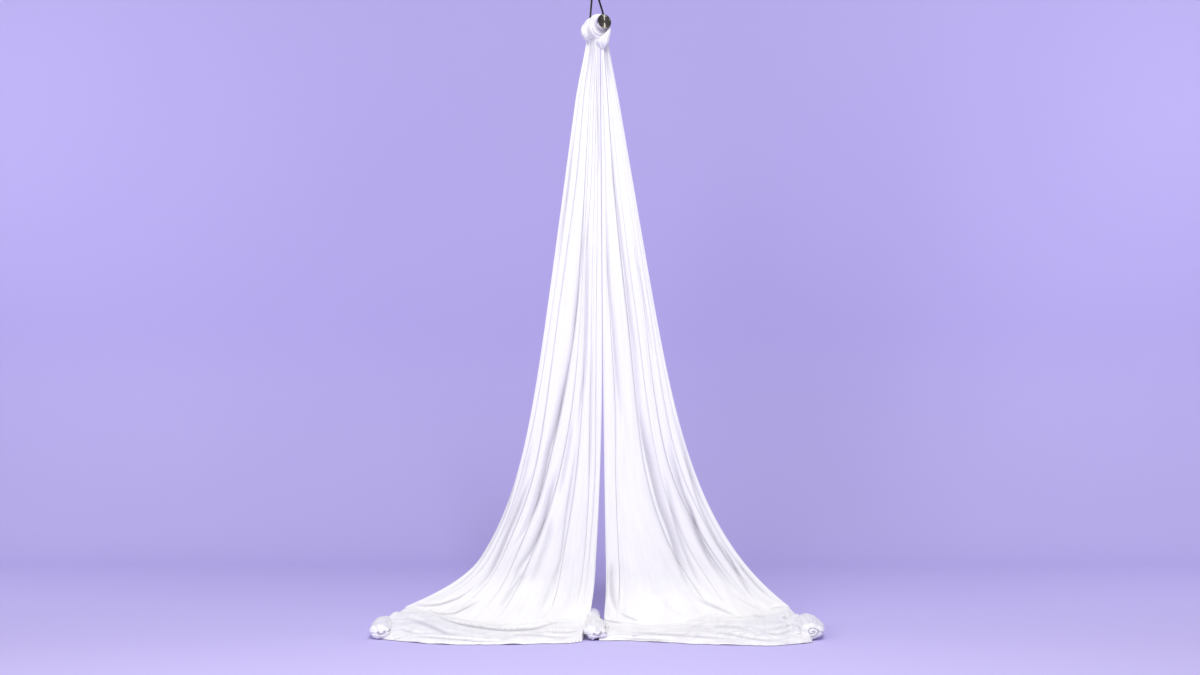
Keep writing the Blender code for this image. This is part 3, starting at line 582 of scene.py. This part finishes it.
            # Both side margins come down to the floor
            margin = max(0, (across - 0.975) / 0.025, (0.02 - across) / 0.02) ** 2
            point.z = mix(point.z, self.floor + FLOOR_GAP, 0.85 * margin * min(1, along * 4))
            point.z += (puffs + crumple - 0.014 * crease_shade) * rough + lift
            row.append((*point, crease_shade * rough * 0.17))
        return row

    def rows(self):
        feet = [self.laid_place(min(1, max(0, cut[0])), 0) for cut in self.section(1, 1)]
        for k in range(HANG_ROWS + 1):
            yield self.hanging(1 - (1 - k / HANG_ROWS) ** HANG_CROWDING, feet)
        for k in range(1, LAY_ROWS + 1):
            yield self.lying((k / LAY_ROWS) ** LAY_CROWDING, feet)

    def make(self, name, material):
        points = np.array(list(self.rows()))
        points, crease_shades = points[..., :3] + np.array(KNOT), points[..., 3]
        rows, columns = points.shape[:2]
        x, y = shown(points)
        narrowing = np.clip(NARROWEST + 0.7 * (y - TOP_PIXEL) / DROP_PIXELS, NARROWEST, 1)
        falling = FALL_DEPTH * pressed(y, x, self.falls, narrowing)
        lying = LINE_DEPTH * pressed(x, y, self.lines, np.ones(x.shape), LINE_LIP)
        level = np.clip((np.arange(rows) - HANG_ROWS + TURN_ROWS // 2) / TURN_ROWS, 0, 1)[:, None]
        points[..., 1] += (falling + lying) * (1 - level)
        points[..., 2] -= (falling + lying) * level
        points[..., 2] = np.maximum(points[..., 2], FLOOR + FLOOR_GAP)
        # Painted shade along the pressed folds and the floor's wrinkles, kept where it is darker than the shade
        # the rows carry
        soft = (np.maximum(falling, 0) / narrowing * FALL_GREY) ** FALL_GREY_POWER
        crease_shades = np.clip(np.maximum(crease_shades, np.maximum(soft, lying * LINE_GREY)), 0, 1)
        bm, lines = cloth_grid(columns - 1, rows - 1)
        # The cloth's layer of painted shade
        wear_and_painted_shade = bm.verts.layers.float["crease_shade"]
        for line, row, row_crease_shades in zip(lines, points, crease_shades):
            for vert, point, crease_shade in zip(line, row, row_crease_shades):
                vert.co = point
                vert[wear_and_painted_shade] = crease_shade
        return piece(name, bm, material)


# A tail's outer edge, in metres: its width at the knot, its even spread, its flare and the flare's power;
# last, how far the parting opens beside it low down
LEFT_EDGES = (0.064, 0.390, 0.430, 8, 0.062)
RIGHT_EDGES = (0.052, 0.500, 0.490, 7, 0.012)

# Tucks from the parting outwards: places across at nine heights from the knot to the floor, strengths there,
# and a lean that softens one side
LEFT_TUCKS = (
    ((0.10, 0.10, 0.10, 0.10, 0.105, 0.09, 0.06, 0.06, 0.06),
     (0.4, 0.4, 0.3, 0.3, 0.4, 0.6, 0.6, 0.5, 0.1), 0.2),
    ((0.17, 0.17, 0.175, 0.19, 0.185, 0.17, 0.13, 0.105, 0.10),
     (0.5, 0.4, 0.4, 0.3, 0.3, 0.4, 0.5, 0.5, 0.1), -0.3),
    ((0.27, 0.27, 0.27, 0.32, 0.305, 0.284, 0.288, 0.293, 0.25),
     (0.5, 0.5, 0.5, 0.6, 0.7, 0.8, 0.7, 0.6, 0.2), 0.5),
    ((0.37, 0.37, 0.37, 0.38, 0.39, 0.42, 0.49, 0.567, 0.55),
     (0.5, 0.4, 0.3, 0.2, 0.3, 0.6, 0.8, 0.8, 0.2), -0.4),
    ((0.46, 0.45, 0.44, 0.442, 0.475, 0.575, 0.645, 0.70, 0.66),
     (0.5, 0.6, 1.0, 1.0, 1.0, 1.0, 0.9, 0.7, 0.1), 0.6),
    ((0.69, 0.68, 0.675, 0.745, 0.79, 0.80, 0.793, 0.82, 0.78),
     (0.8, 0.8, 0.8, 0.6, 0.5, 0.6, 0.8, 0.8, 0.3), -0.5),
    ((0.86, 0.865, 0.88, 0.89, 0.91, 0.93, 0.945, 0.93, 0.91),
     (0.4, 0.4, 0.5, 0.5, 0.5, 0.6, 0.6, 0.5, 0.3), 0.0),
)
RIGHT_TUCKS = (
    ((0.13, 0.13, 0.13, 0.11, 0.14, 0.165, 0.125, 0.10, 0.08),
     (0.4, 0.4, 0.5, 0.5, 0.6, 0.6, 0.3, 0.2, 0.1), -0.4),
    ((0.41, 0.39, 0.39, 0.425, 0.465, 0.465, 0.455, 0.505, 0.58),
     (0.9, 1.0, 1.0, 0.9, 0.8, 0.6, 0.5, 0.7, 0.5), 0.6),
    ((0.55, 0.55, 0.56, 0.60, 0.63, 0.62, 0.61, 0.645, 0.69),
     (0.2, 0.1, 0.1, 0.2, 0.3, 0.3, 0.3, 0.5, 0.4), 0.3),
    ((0.74, 0.75, 0.78, 0.81, 0.785, 0.74, 0.73, 0.805, 0.84),
     (0.2, 0.1, 0.1, 0.4, 0.6, 0.9, 0.9, 1.0, 0.6), -0.5),
    ((0.88, 0.88, 0.88, 0.90, 0.90, 0.865, 0.85, 0.89, 0.90),
     (0.1, 0.1, 0.1, 0.2, 0.3, 0.6, 0.7, 0.8, 0.5), 0.4),
    ((0.95, 0.95, 0.95, 0.95, 0.955, 0.95, 0.94, 0.95, 0.95),
     (0.2, 0.2, 0.2, 0.2, 0.3, 0.4, 0.5, 0.7, 0.4), 0.2),
)

# The cloth on the floor from the parting outwards: x and y in the photograph and the height in mm of where
# it meets the floor, the hump, the middle and the hem
LEFT_LAID = (
    ((589, 619.5, 26), (588, 622, 32), (584, 630, 32), (582.5, 637, 16)),
    ((565, 618.5, 28), (566, 621, 34), (567, 631, 24), (568, 639.5, 12)),
    ((539, 622, 18), (540, 625, 26), (541, 634, 22), (543, 640, 12)),
    ((512, 626, 10), (513, 629, 20), (514, 635.5, 23), (515, 641, 11)),
    ((487, 624.5, 14), (487, 628, 26), (487, 635.5, 24), (487, 641, 12)),
    ((460, 619.5, 32), (458, 624, 40), (456, 632, 32), (455, 640.5, 14)),
    ((434, 611, 66), (430, 616, 62), (425, 628, 42), (422, 639, 14)),
    ((406, 606.5, 92), (392, 611.5, 80), (378, 621.5, 50), (373, 634.5, 12)),
)
RIGHT_LAID = (
    ((604, 617, 34), (602, 621, 36), (600, 630, 34), (599, 636, 16)),
    ((630, 622.5, 16), (630, 625.5, 24), (630, 633, 24), (630, 637, 12)),
    ((657, 624, 12), (657, 627, 22), (657, 634, 23), (656, 638.5, 11)),
    ((684, 621.5, 20), (684, 625, 26), (684, 634, 23), (684, 640, 11)),
    ((710, 614.5, 48), (711, 619, 46), (712, 630, 32), (713, 641, 12)),
    ((736, 616.5, 44), (738, 621, 46), (741, 632, 34), (744, 641.5, 12)),
    ((763, 611, 62), (768, 617, 60), (773, 629, 46), (777, 641, 16)),
    ((789, 606.5, 88), (801, 613, 74), (811, 625, 44), (813, 638.5, 12)),
)

# Folds down the cloth, by how they show in the photograph: (y, x) stations, depth in mm, widths left and right
LEFT_FALLS = (
    (((190, 584.5), (230, 583), (250, 582.5), (292, 578.7), (345, 572.5), (375, 567.5)), 9, 7, 2.5),
    (((330, 573), (377, 567), (430, 556), (450, 550), (474, 545), (498, 539), (514, 533), (532, 524),
      (552, 510), (565, 502)), 13, 9, 3),
    (((460, 560), (490, 552), (516, 546), (538, 538), (554, 530), (568, 520), (584, 512),
      (598, 500)), 11, 9, 4),
    (((466, 536), (490, 526), (516, 516), (534, 508), (554, 500), (574, 490), (588, 478), (598, 464),
      (603, 448)), 12, 7, 3),
    (((430, 578), (466, 574), (498, 569), (526, 565), (554, 562), (574, 557), (596, 552),
      (612, 547)), 7, 3, 5),
    (((430, 530), (466, 518), (506, 508), (526, 500), (550, 488), (574, 472), (588, 456),
      (600, 440)), 9, 5, 3),
    (((510, 554), (526, 550), (542, 546), (570, 536), (594, 526)), 7, 6, 9),
    (((190, 587.5), (230, 587.5), (265, 587), (302, 586.7), (335, 586), (377, 583.7), (410, 580),
      (450, 577.5)), 9, 3, 5),
    (((105, 576), (140, 572.5), (165, 570), (190, 567.5), (215, 563.7), (250, 559), (280, 556)), 8, 5, 5),
    (((410, 572.5), (450, 567.5), (480, 562), (505, 556)), 6, 4, 5),
    (((430, 536), (455, 529), (480, 523), (505, 515), (530, 505), (556, 490)), 6, 5, 5),
    (((65, 596), (115, 597.5), (150, 599), (190, 600)), 8, 4, 5),
    (((315, 593.7), (352, 592.5), (390, 591), (450, 590), (500, 589)), 5, 3, 4),
    (((565, 530), (580, 520), (595, 508), (612, 495)), 7, 8, 8),
    (((560, 560), (580, 553), (600, 546), (616, 540)), 5, 7, 7),
    (((540, 478), (560, 470), (580, 455), (594, 438)), 8, 5, 4),
)
RIGHT_FALLS = (
    (((190, 603.5), (215, 606), (240, 607), (275, 608), (302, 610), (327, 612.5), (372, 616), (410, 620),
      (440, 621)), 9, 3, 8),
    (((107, 610), (150, 611.7), (185, 613.7), (215, 617.5), (245, 621), (280, 626), (320, 630), (350, 635),
      (385, 640)), 9, 3, 9),
    (((400, 638), (430, 642), (460, 648), (486, 654), (508, 660), (526, 667), (544, 673), (562, 678),
      (578, 684), (592, 692), (602, 702), (610, 716)), 13, 3, 13),
    (((460, 661), (482, 666), (510, 672), (538, 680), (560, 688), (582, 698), (596, 710),
      (606, 724)), 8, 3, 8),
    (((430, 668), (460, 674), (490, 682), (516, 692), (538, 700), (556, 710), (572, 722), (586, 734),
      (598, 748), (608, 760)), 12, 9, 4),
    (((400, 672), (430, 679), (466, 688), (500, 698), (526, 708), (548, 720), (566, 732), (584, 746),
      (600, 760)), 9, 3, 7),
    (((225, 633.7), (255, 636), (290, 642.5), (337, 650), (370, 656)), 6, 5, 4),
    (((598, 662), (608, 671), (618, 684)), 5, 6, 6),
    (((555, 612), (585, 611), (602, 613), (618, 619)), 10, 4, 5),
    (((558, 606), (582, 607), (606, 603), (619, 600)), 6, 3, 3),
    (((480, 684), (520, 694), (556, 708), (580, 724), (600, 742)), 6, 5, 5),
    (((538, 718), (560, 730), (588, 746), (598, 754), (606, 766)), 9, 4, 4),
    (((554, 732), (574, 746), (590, 760), (604, 776)), 7, 4, 4),
    (((300, 628), (360, 634), (420, 640), (480, 652)), 6, 8, 8),
)

# Wrinkles across the cloth near the floor: (x, y) stations, depth in mm, widths above and below
LEFT_LINES = (
    (((420, 603.5), (427, 607.5), (434, 611), (441, 612.6), (449, 613), (457, 611.6), (464, 608.4), (472, 604),
      (480, 599), (488, 593)), 9, 4, 2),
    (((408, 603), (419, 605), (430, 605.4), (440, 604), (448, 601.6), (458, 598), (466, 593), (475, 586),
      (482, 580)), 8, 4, 2),
    (((424, 611), (440, 616), (452, 620), (466, 623.3), (482, 625.8), (500, 627.8), (520, 628), (538, 626),
      (554, 621.5), (572, 620)), 14, 4, 2.6),
    (((400, 614), (418, 619), (434, 625), (448, 631), (466, 633)), 6, 6, 5),
    (((408, 635), (430, 636), (452, 637.5), (482, 640), (510, 640)), 8, 2, 2),
    (((500, 635), (530, 633.5), (560, 636), (580, 635)), 7, 3, 2),
    (((540, 629), (560, 631), (582, 629.5)), 7, 3, 2),
    (((392, 638.4), (397, 637.6), (402, 636)), 8, 1.6, 1.6),
    (((396, 626), (410, 630), (425, 634)), 5, 4, 3),
)
RIGHT_LINES = (
    (((688, 589), (702, 600), (714, 605.6), (728, 611), (746, 618)), 6, 6, 4),
    (((672, 621), (690, 624), (706, 625.5), (722, 625), (738, 625.5), (752, 630), (766, 636)), 6, 4, 3),
    (((690, 628.5), (712, 630), (728, 632), (745, 635.5), (760, 638), (775, 638.5), (788, 636.5),
      (798, 633)), 6, 4, 3),
    (((730, 588), (744, 600), (756, 606.5), (766, 611), (772, 613.5)), 4, 5, 3),
    (((750, 612), (758, 615), (769, 614.5)), 5, 2.5, 2.5),
    (((768, 611), (776, 609), (784, 610), (792, 612)), -9, 5, 4),
    (((781, 607.5), (785, 609.5), (788, 611)), 9, 1.6, 1.6),
    (((781, 616), (786, 616.4), (792, 614)), 11, 2, 1.6),
    (((600, 618), (612, 620), (624, 622)), 9, 2, 2),
    (((618, 612), (630, 617), (642, 621)), 8, 3, 2.5),
    (((598, 626), (604, 626.6), (612, 626)), 9, 2, 2),
    (((620, 631), (660, 632.5), (700, 635), (740, 639)), 7, 3, 2.5),
    (((612, 636), (640, 637.5), (680, 639)), 7, 2.5, 2.5),
    (((770, 626), (784, 625), (796, 621)), 6, 3, 3),
    (((764, 632), (780, 632), (796, 627)), 6, 3, 3),
)

ROLL_SIDES, ROLL_ROWS, ROLL_END_ROWS = 96, 48, 30

# Rolled margins on the floor: the path's (x, y, size) from back to front, half the width and half the height
# in metres, the turns of the spiral at the end, and how crumpled the roll is
ROLLS = {
    "left_tail": (
        (
            "left_end_roll",
            ((-0.960, -0.16, 0.02), (-1.006, -0.31, 0.85), (-1.010, -0.46, 1.0), (-1.008, -0.590, 0.9)),
            (0.054, 0.042, 0.8, 0.13),
        ),
        (
            "parting_bunch",
            ((-0.002, -0.10, 0.02), (0.006, -0.24, 0.8), (0.007, -0.42, 1.0), (0.006, -0.625, 0.9)),
            (0.056, 0.040, 0.9, 0.50),
        ),
        (
            "parting_fold",
            ((-0.008, 0.042, 0.02), (-0.007, 0.026, 0.85), (-0.006, -0.06, 1.0), (-0.004, -0.17, 0.95),
             (-0.002, -0.30, 0.7)),
            (0.040, 0.036, 1.2, 0.05),
        ),
    ),
    "right_tail": (
        (
            "right_end_roll",
            ((0.985, -0.18, 0.02), (1.018, -0.32, 0.85), (1.026, -0.46, 1.0), (1.024, -0.620, 0.9)),
            (0.064, 0.048, 3.0, 0.16),
        ),
        (
            "right_second_roll",
            ((0.925, -0.18, 0.02), (0.950, -0.34, 0.9), (0.958, -0.50, 0.9), (0.956, -0.650, 0.7)),
            (0.040, 0.032, 2.0, 0.35),
        ),
    ),
}


def floor_roll(name, path, make, material):
    """A margin of cloth rolled up on the floor, carried along its path, with the roll's spiral at its end."""
    wide, tall, turns, crumple = make
    bm, lines = cloth_grid(ROLL_SIDES, ROLL_ROWS + ROLL_END_ROWS)
    wear_and_painted_shade = bm.verts.layers.float["crease_shade"]
    side = math.copysign(1, path[0][0])
    for j, line in enumerate(lines):
        share = min(1, j / ROLL_ROWS)
        ring = 1 - max(0, j - ROLL_ROWS) / ROLL_END_ROWS
        x, y, grown = track_path(path, share, 3)
        middle = Vector((x, y, FLOOR))
        for k, vert in enumerate(line):
            angle = math.tau * (k % ROLL_SIDES) / ROLL_SIDES
            x, z = math.cos(angle), math.sin(angle)
            rough = wrinkle(x, z, share * 2.2 + wide * 90)
            rough += 0.35 * wrinkle(x * 2.6, z * 2.6, share * 4 + tall * 90)
            dent = valley(wrinkle(x * 1.6, z * 1.6, share * 3 + tall * 300))
            rough -= 0.25 * dent
            round_share = k / ROLL_SIDES if side > 0 else 1 - k / ROLL_SIDES
            size = grown * (1 + crumple * rough) * (1 - 0.10 * round_share)
            spiral = (ring * turns + side * angle / math.tau) % 1
            groove = max(0, 1 - abs(spiral - 0.5) * 5) ** 1.4 * min(1, max(0, 0.72 - ring) * 6)
            ahead = 0.5 * wide * grown * math.sqrt(max(0, 1 - ring**2)) - 0.010 * groove
            ahead += 0.004 * wrinkle(x * ring * 3, z * ring * 3, wide * 50)
            # Painted shade in the spiral's groove and in the dents
            vert[wear_and_painted_shade] = min(1, 0.9 * groove + 0.35 * dent)
            point = Vector((wide * size * ring * x, -ahead, tall * (grown + size * ring * z)))
            point.z = max(FLOOR_GAP, point.z)
            vert.co = middle + point
    return closed(name, bm, material)


def tails(material, knot):
    """Both tails with their rolls. The knot's pieces are listed with the left tail's rolls, and the list is not
    used.
    """
    left = Tail(-1, 0.55, 0.017, LEFT_EDGES, LEFT_TUCKS, LEFT_LAID, LEFT_FALLS, LEFT_LINES)
    right = Tail(1, 0.9, 0.006, RIGHT_EDGES, RIGHT_TUCKS, RIGHT_LAID, RIGHT_FALLS, RIGHT_LINES)
    rolls = {name: [floor_roll(*roll, material) for roll in made] for name, made in ROLLS.items()}
    for name, tail in (("left_tail", left), ("right_tail", right)):
        obj = tail.make(name + "_cloth", material)
        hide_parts(name)
        for roll in rolls[name]:
            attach(roll, name)
        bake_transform(obj, "bail", name, start=KNOT - Vector((0, 0, 0.03)), end=KNOT - Vector((0, 0, 0.16)))
        gathered = rolls[name] + (knot if name == "left_tail" else [])


# The painted shade of a gathered fold is full at this depth, in metres
FULL_GREY_DEPTH = 0.008


def cords(place, count, depth):
    """Gathered cloth's rounded cords, with sharp creases between them."""
    return -depth * (1 - abs(math.sin(math.pi * count * place))) ** 1.8


# A turn of cloth round the bar: its grid, the radius next to the bar and its full swell, in metres
TURN_SIDES, TURN_STEPS = 160, 110
TURN_RADIUS, TURN_SWELL = 0.0305, 0.0265


def turn_of_cloth(name, start, end, lobe, collar, material):
    """A gathered turn round the crossbar between two places along it.

    The lobe is slack: (depth, turn of its lowest place). The collar is the share that a narrow first turn takes.
    """
    bm, lines = cloth_grid(TURN_SIDES, TURN_STEPS)
    wear_and_painted_shade = bm.verts.layers.float["crease_shade"]
    slack, lowest = lobe
    for j, line in enumerate(lines):
        share = j / TURN_STEPS
        body = (share - collar) / (1 - collar)
        if body < 0:
            swell = 0.48 * math.sin(math.pi * share / collar) ** 0.6
        else:
            swell = 0.10 + 0.90 * math.sin(math.pi * mix(0.02, 0.97, body)) ** 0.55
        along = mix(start, end, share)
        for k, vert in enumerate(line):
            turn = math.tau * (k % TURN_SIDES) / TURN_SIDES
            down = max(0, math.cos(turn - lowest)) ** 2 if body > 0 else 0
            x, z = math.sin(turn), math.cos(turn)
            place = share + 0.05 * math.sin(turn + 1) + 0.035 * wrinkle(x * 1.5, z * 1.5, 3 + slack * 90)
            folds = cords(place, 4, 0.0060) + cords(place + 0.3, 9, 0.0040)
            folds += 0.003 * wrinkle(x * 1.2, z * 1.2, share * 3)
            radius = TURN_RADIUS + (TURN_SWELL + slack * down) * swell + folds * min(1, 2 * swell)
            # Painted shade in the gathered folds and in the gap beside the collar, and a little all over
            gap = max(0, 1 - abs(body) * 16) if collar else 0
            vert[wear_and_painted_shade] = min(1, max(0, -folds) / FULL_GREY_DEPTH + gap + 0.05)
            vert.co = BAR @ Vector((radius * x, along, radius * z))
    return closed(name, bm, material)


# The band in front of the throat, in photo places: left x, y and right x, y, then millimetres in front and
# half its thickness
BAND = (
    (606.6, 31.6, 611.2, 28.0, 84, 14),
    (601.8, 36.0, 610.6, 33.0, 84, 20),
    (596.6, 41.2, 609.4, 39.0, 80, 24),
    (597.6, 45.2, 608.2, 44.4, 72, 24),
    (600.0, 49.2, 605.2, 48.6, 62, 18),
    (601.4, 52.4, 603.2, 52.0, 52, 6),
)
BAND_SIDES, BAND_STEPS = 72, 56


def crossing_band(material):
    """The strand that comes down behind the front cap's right side and crosses in front of the throat."""
    bm, lines = cloth_grid(BAND_SIDES, BAND_STEPS)
    wear_and_painted_shade = bm.verts.layers.float["crease_shade"]
    for j, line in enumerate(lines):
        share = j / BAND_STEPS
        left_x, left_y, right_x, right_y, front, half = track_path(BAND, share, 6)
        depth = CAMERA_BACK - front / MM
        ends = []
        for x, y in ((left_x, left_y), (right_x, right_y)):
            z = FLOOR + EYE_HEIGHT - (y - PHOTO_MIDDLE[1]) * depth / FOCAL
            ends.append(Vector(((x - PHOTO_MIDDLE[0]) * depth / FOCAL + CAMERA_SIDE, -front / MM, z)))
        middle, across = (ends[0] + ends[1]) / 2, (ends[1] - ends[0]) / 2
        for k, vert in enumerate(line):
            angle = math.tau * (k % BAND_SIDES) / BAND_SIDES
            side, out = math.cos(angle), math.sin(angle)
            fold = cords(0.5 * side + 0.10 * math.sin(3 * share), 4, 0.0040)
            fold += 0.003 * wrinkle(side * 2, out * 2, share * 2)
            vert.co = middle + across * side - Vector((0, (half / MM + fold) * out, 0))
            # Painted shade in the band's folds, and a little all over
            vert[wear_and_painted_shade] = min(1, max(0, -fold) / FULL_GREY_DEPTH + 0.04)
    return closed("crossing_band", bm, material)


def hitch(material):
    """The knot: two turns round the crossbar and the band that crosses in front of them."""
    front = turn_of_cloth("front_turn", -0.0650, 0.0060, (0.021, math.pi + 0.35), 0.14, material)
    back = turn_of_cloth("back_turn", 0.0010, 0.0650, (0.024, math.pi + 0.78), 0, material)
    band = crossing_band(material)
    for obj in (front, back, band):
        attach(obj, "bail")
    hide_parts("silk_hitch")
    return [front, back, band]


def hardware():
    forged = steel("forged_steel", (0.36, 0.36, 0.37), (0.50, 0.50, 0.51), 0.42, 420.0, 0.0002)
    turned = steel("turned_steel", (0.42, 0.42, 0.43), (0.55, 0.55, 0.56), 0.22, 900.0, 0.00004)
    rod = steel("bent_rod_steel", (0.03, 0.028, 0.026), (0.09, 0.084, 0.075), 0.22, 700.0, 0.00006)
    bearing = steel("bearing_steel", (0.60, 0.60, 0.62), (0.70, 0.70, 0.71), 0.12, 900.0, 0.00002)
    brass = steel("cage_brass", (0.62, 0.45, 0.20), (0.78, 0.60, 0.30), 0.30, 600.0, 0.00005)
    screws = steel("screw_steel", (0.05, 0.05, 0.055), (0.12, 0.12, 0.13), 0.42, 800.0, 0.00006)
    caps = lathe_turned()
    kinds = {
        **dict.fromkeys(("anchor_eye", "swivel_fork", "tie_rod"), forged),
        **dict.fromkeys(("swivel_housing", "fork_pin", "crossbar"), turned),
        **dict.fromkeys(("front_cap", "back_cap"), caps),
        **dict.fromkeys(("pin_ring", "nut_pin"), screws),
        "bail": rod,
        "bearing_cage": brass,
        "stem_seal": rubber(),
    }
    for name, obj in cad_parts.items():
        if name in kinds:
            keep(obj, kinds[name])
        elif "screw" in name:
            keep(obj, screws)
        elif not obj.hide_render:
            keep(obj, bearing)


# The paper sweep, in metres: half its width, its front and back, its height, and the cove between floor and wall
PAPER_HALF, PAPER_FRONT, PAPER_BACK, PAPER_HEIGHT = 12, -14.0, 4.0, 9
COVE, COVE_STEPS = 1.5, 16
PAPER_GAP = 0.001


def backdrop():
    """A lilac paper sweep, curved up behind the silks, with light painted on it towards the front. Its back is
    clear to the camera.
    """
    plain = Finish("studio_paper", roughness=0.9, specular_ior_level=0.2)
    place = plain.place()
    wall = plain.blend(plain.noise(place, 0.4, 2.0), (0.455, 0.404, 0.755), (0.485, 0.434, 0.775))
    # Painted light: the paper is lighter towards the front of the floor
    painted_front_light = plain.range(plain.node("SeparateXYZ", {}, {"Vector": place}, "Y"), 1, 0, -1.5, 3.5)
    plain.set(base_color=plain.blend(painted_front_light, wall, (0.61, 0.553, 0.90)))
    behind = plain.node("NewGeometry", {}, {}, "Backfacing") * plain.node("LightPath", {}, {}, "Is Camera Ray")
    paper = Socket(plain, plain.shader.outputs[0])
    seen = plain.node("MixShader", {}, {0: behind, 1: paper, 2: plain.node("BsdfTransparent", {}, {})})
    plain.join(plain.tree.nodes["Material Output"].inputs["Surface"], seen)

    bm = bmesh.new()
    ground = FLOOR - PAPER_GAP
    profile = [(PAPER_FRONT, ground)]
    for k in range(COVE_STEPS + 1):
        angle = math.pi / 2 * k / COVE_STEPS
        profile.append((PAPER_BACK - COVE + COVE * math.sin(angle), ground + COVE * (1 - math.cos(angle))))
    profile.append((PAPER_BACK, ground + PAPER_HEIGHT))
    verts = [bm.verts.new((-PAPER_HALF, y, z)) for y, z in profile]
    edges = [bm.edges.new(pair) for pair in zip(verts, verts[1:])]
    swept = bmesh.ops.extrude_edge_only(bm, edges=edges)["geom"]
    far_side = [g for g in swept if isinstance(g, bmesh.types.BMVert)]
    bmesh.ops.translate(bm, vec=(2 * PAPER_HALF, 0, 0), verts=far_side)
    bm.normal_update()
    if next(iter(bm.faces)).normal.z < 0:
        bmesh.ops.reverse_faces(bm, faces=bm.faces)
    piece("studio_floor", bm, plain.material)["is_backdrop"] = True


def lamp(name, place, aim, size, power):
    """A square soft lamp of that size in metres and power in watts."""
    light = bpy.data.lights.new(name, "AREA")
    light.size = size
    light.energy = power
    obj = bpy.data.objects.new(name, light)
    obj.location = place
    obj.rotation_euler = (Vector(aim) - Vector(place)).to_track_quat("-Z", "Y").to_euler()
    bpy.context.scene.collection.objects.link(obj)


def lighting():
    world = bpy.data.worlds.new("studio")
    bpy.context.scene.world = world
    world.use_nodes = True
    background = world.node_tree.nodes["Background"]
    background.inputs["Color"].default_value = (1.0, 0.985, 0.965, 1)
    background.inputs["Strength"].default_value = 0.27

    lamp("key", (1.2, -9.0, FLOOR + 9.6), (0, 0, FLOOR + 0.5), 2.6, 800)
    lamp("fill", (-2.6, -7.0, FLOOR + 2.4), (0, 0, FLOOR + 0.4), 2.6, 158)
    lamp("side", BAR_MIDDLE + 5 * Vector((0.658, -0.301, 0.689)), BAR_MIDDLE, 0.55, 14)
    lamp("front", (0, -3.2, FLOOR + 4.6), (0, -0.4, FLOOR), 2.5, 36)
    for side in (-1, 1):
        lamp("backdrop", (5.0 * side, 1.0, FLOOR + 3.2), (1.5 * side, 4.0, FLOOR + 1.8), 2.0, 50)


def camera():
    view = bpy.data.cameras.new("camera")
    view.lens = SENSOR * FOCAL / (2 * PHOTO_MIDDLE[0])
    view.sensor_width = SENSOR
    obj = bpy.data.objects.new("camera", view)
    obj.location = (CAMERA_SIDE, -CAMERA_BACK, FLOOR + EYE_HEIGHT)
    obj.rotation_euler = (math.pi / 2, 0, 0)
    bpy.context.scene.collection.objects.link(obj)
    bpy.context.scene.camera = obj
    bpy.context.scene.view_settings.view_transform = "Standard"


silk = tricot()
camera()
tails(silk, hitch(silk))
hardware()
backdrop()
lighting()

[[list(corner) for corner in box] for box in (cad_box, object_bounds())]
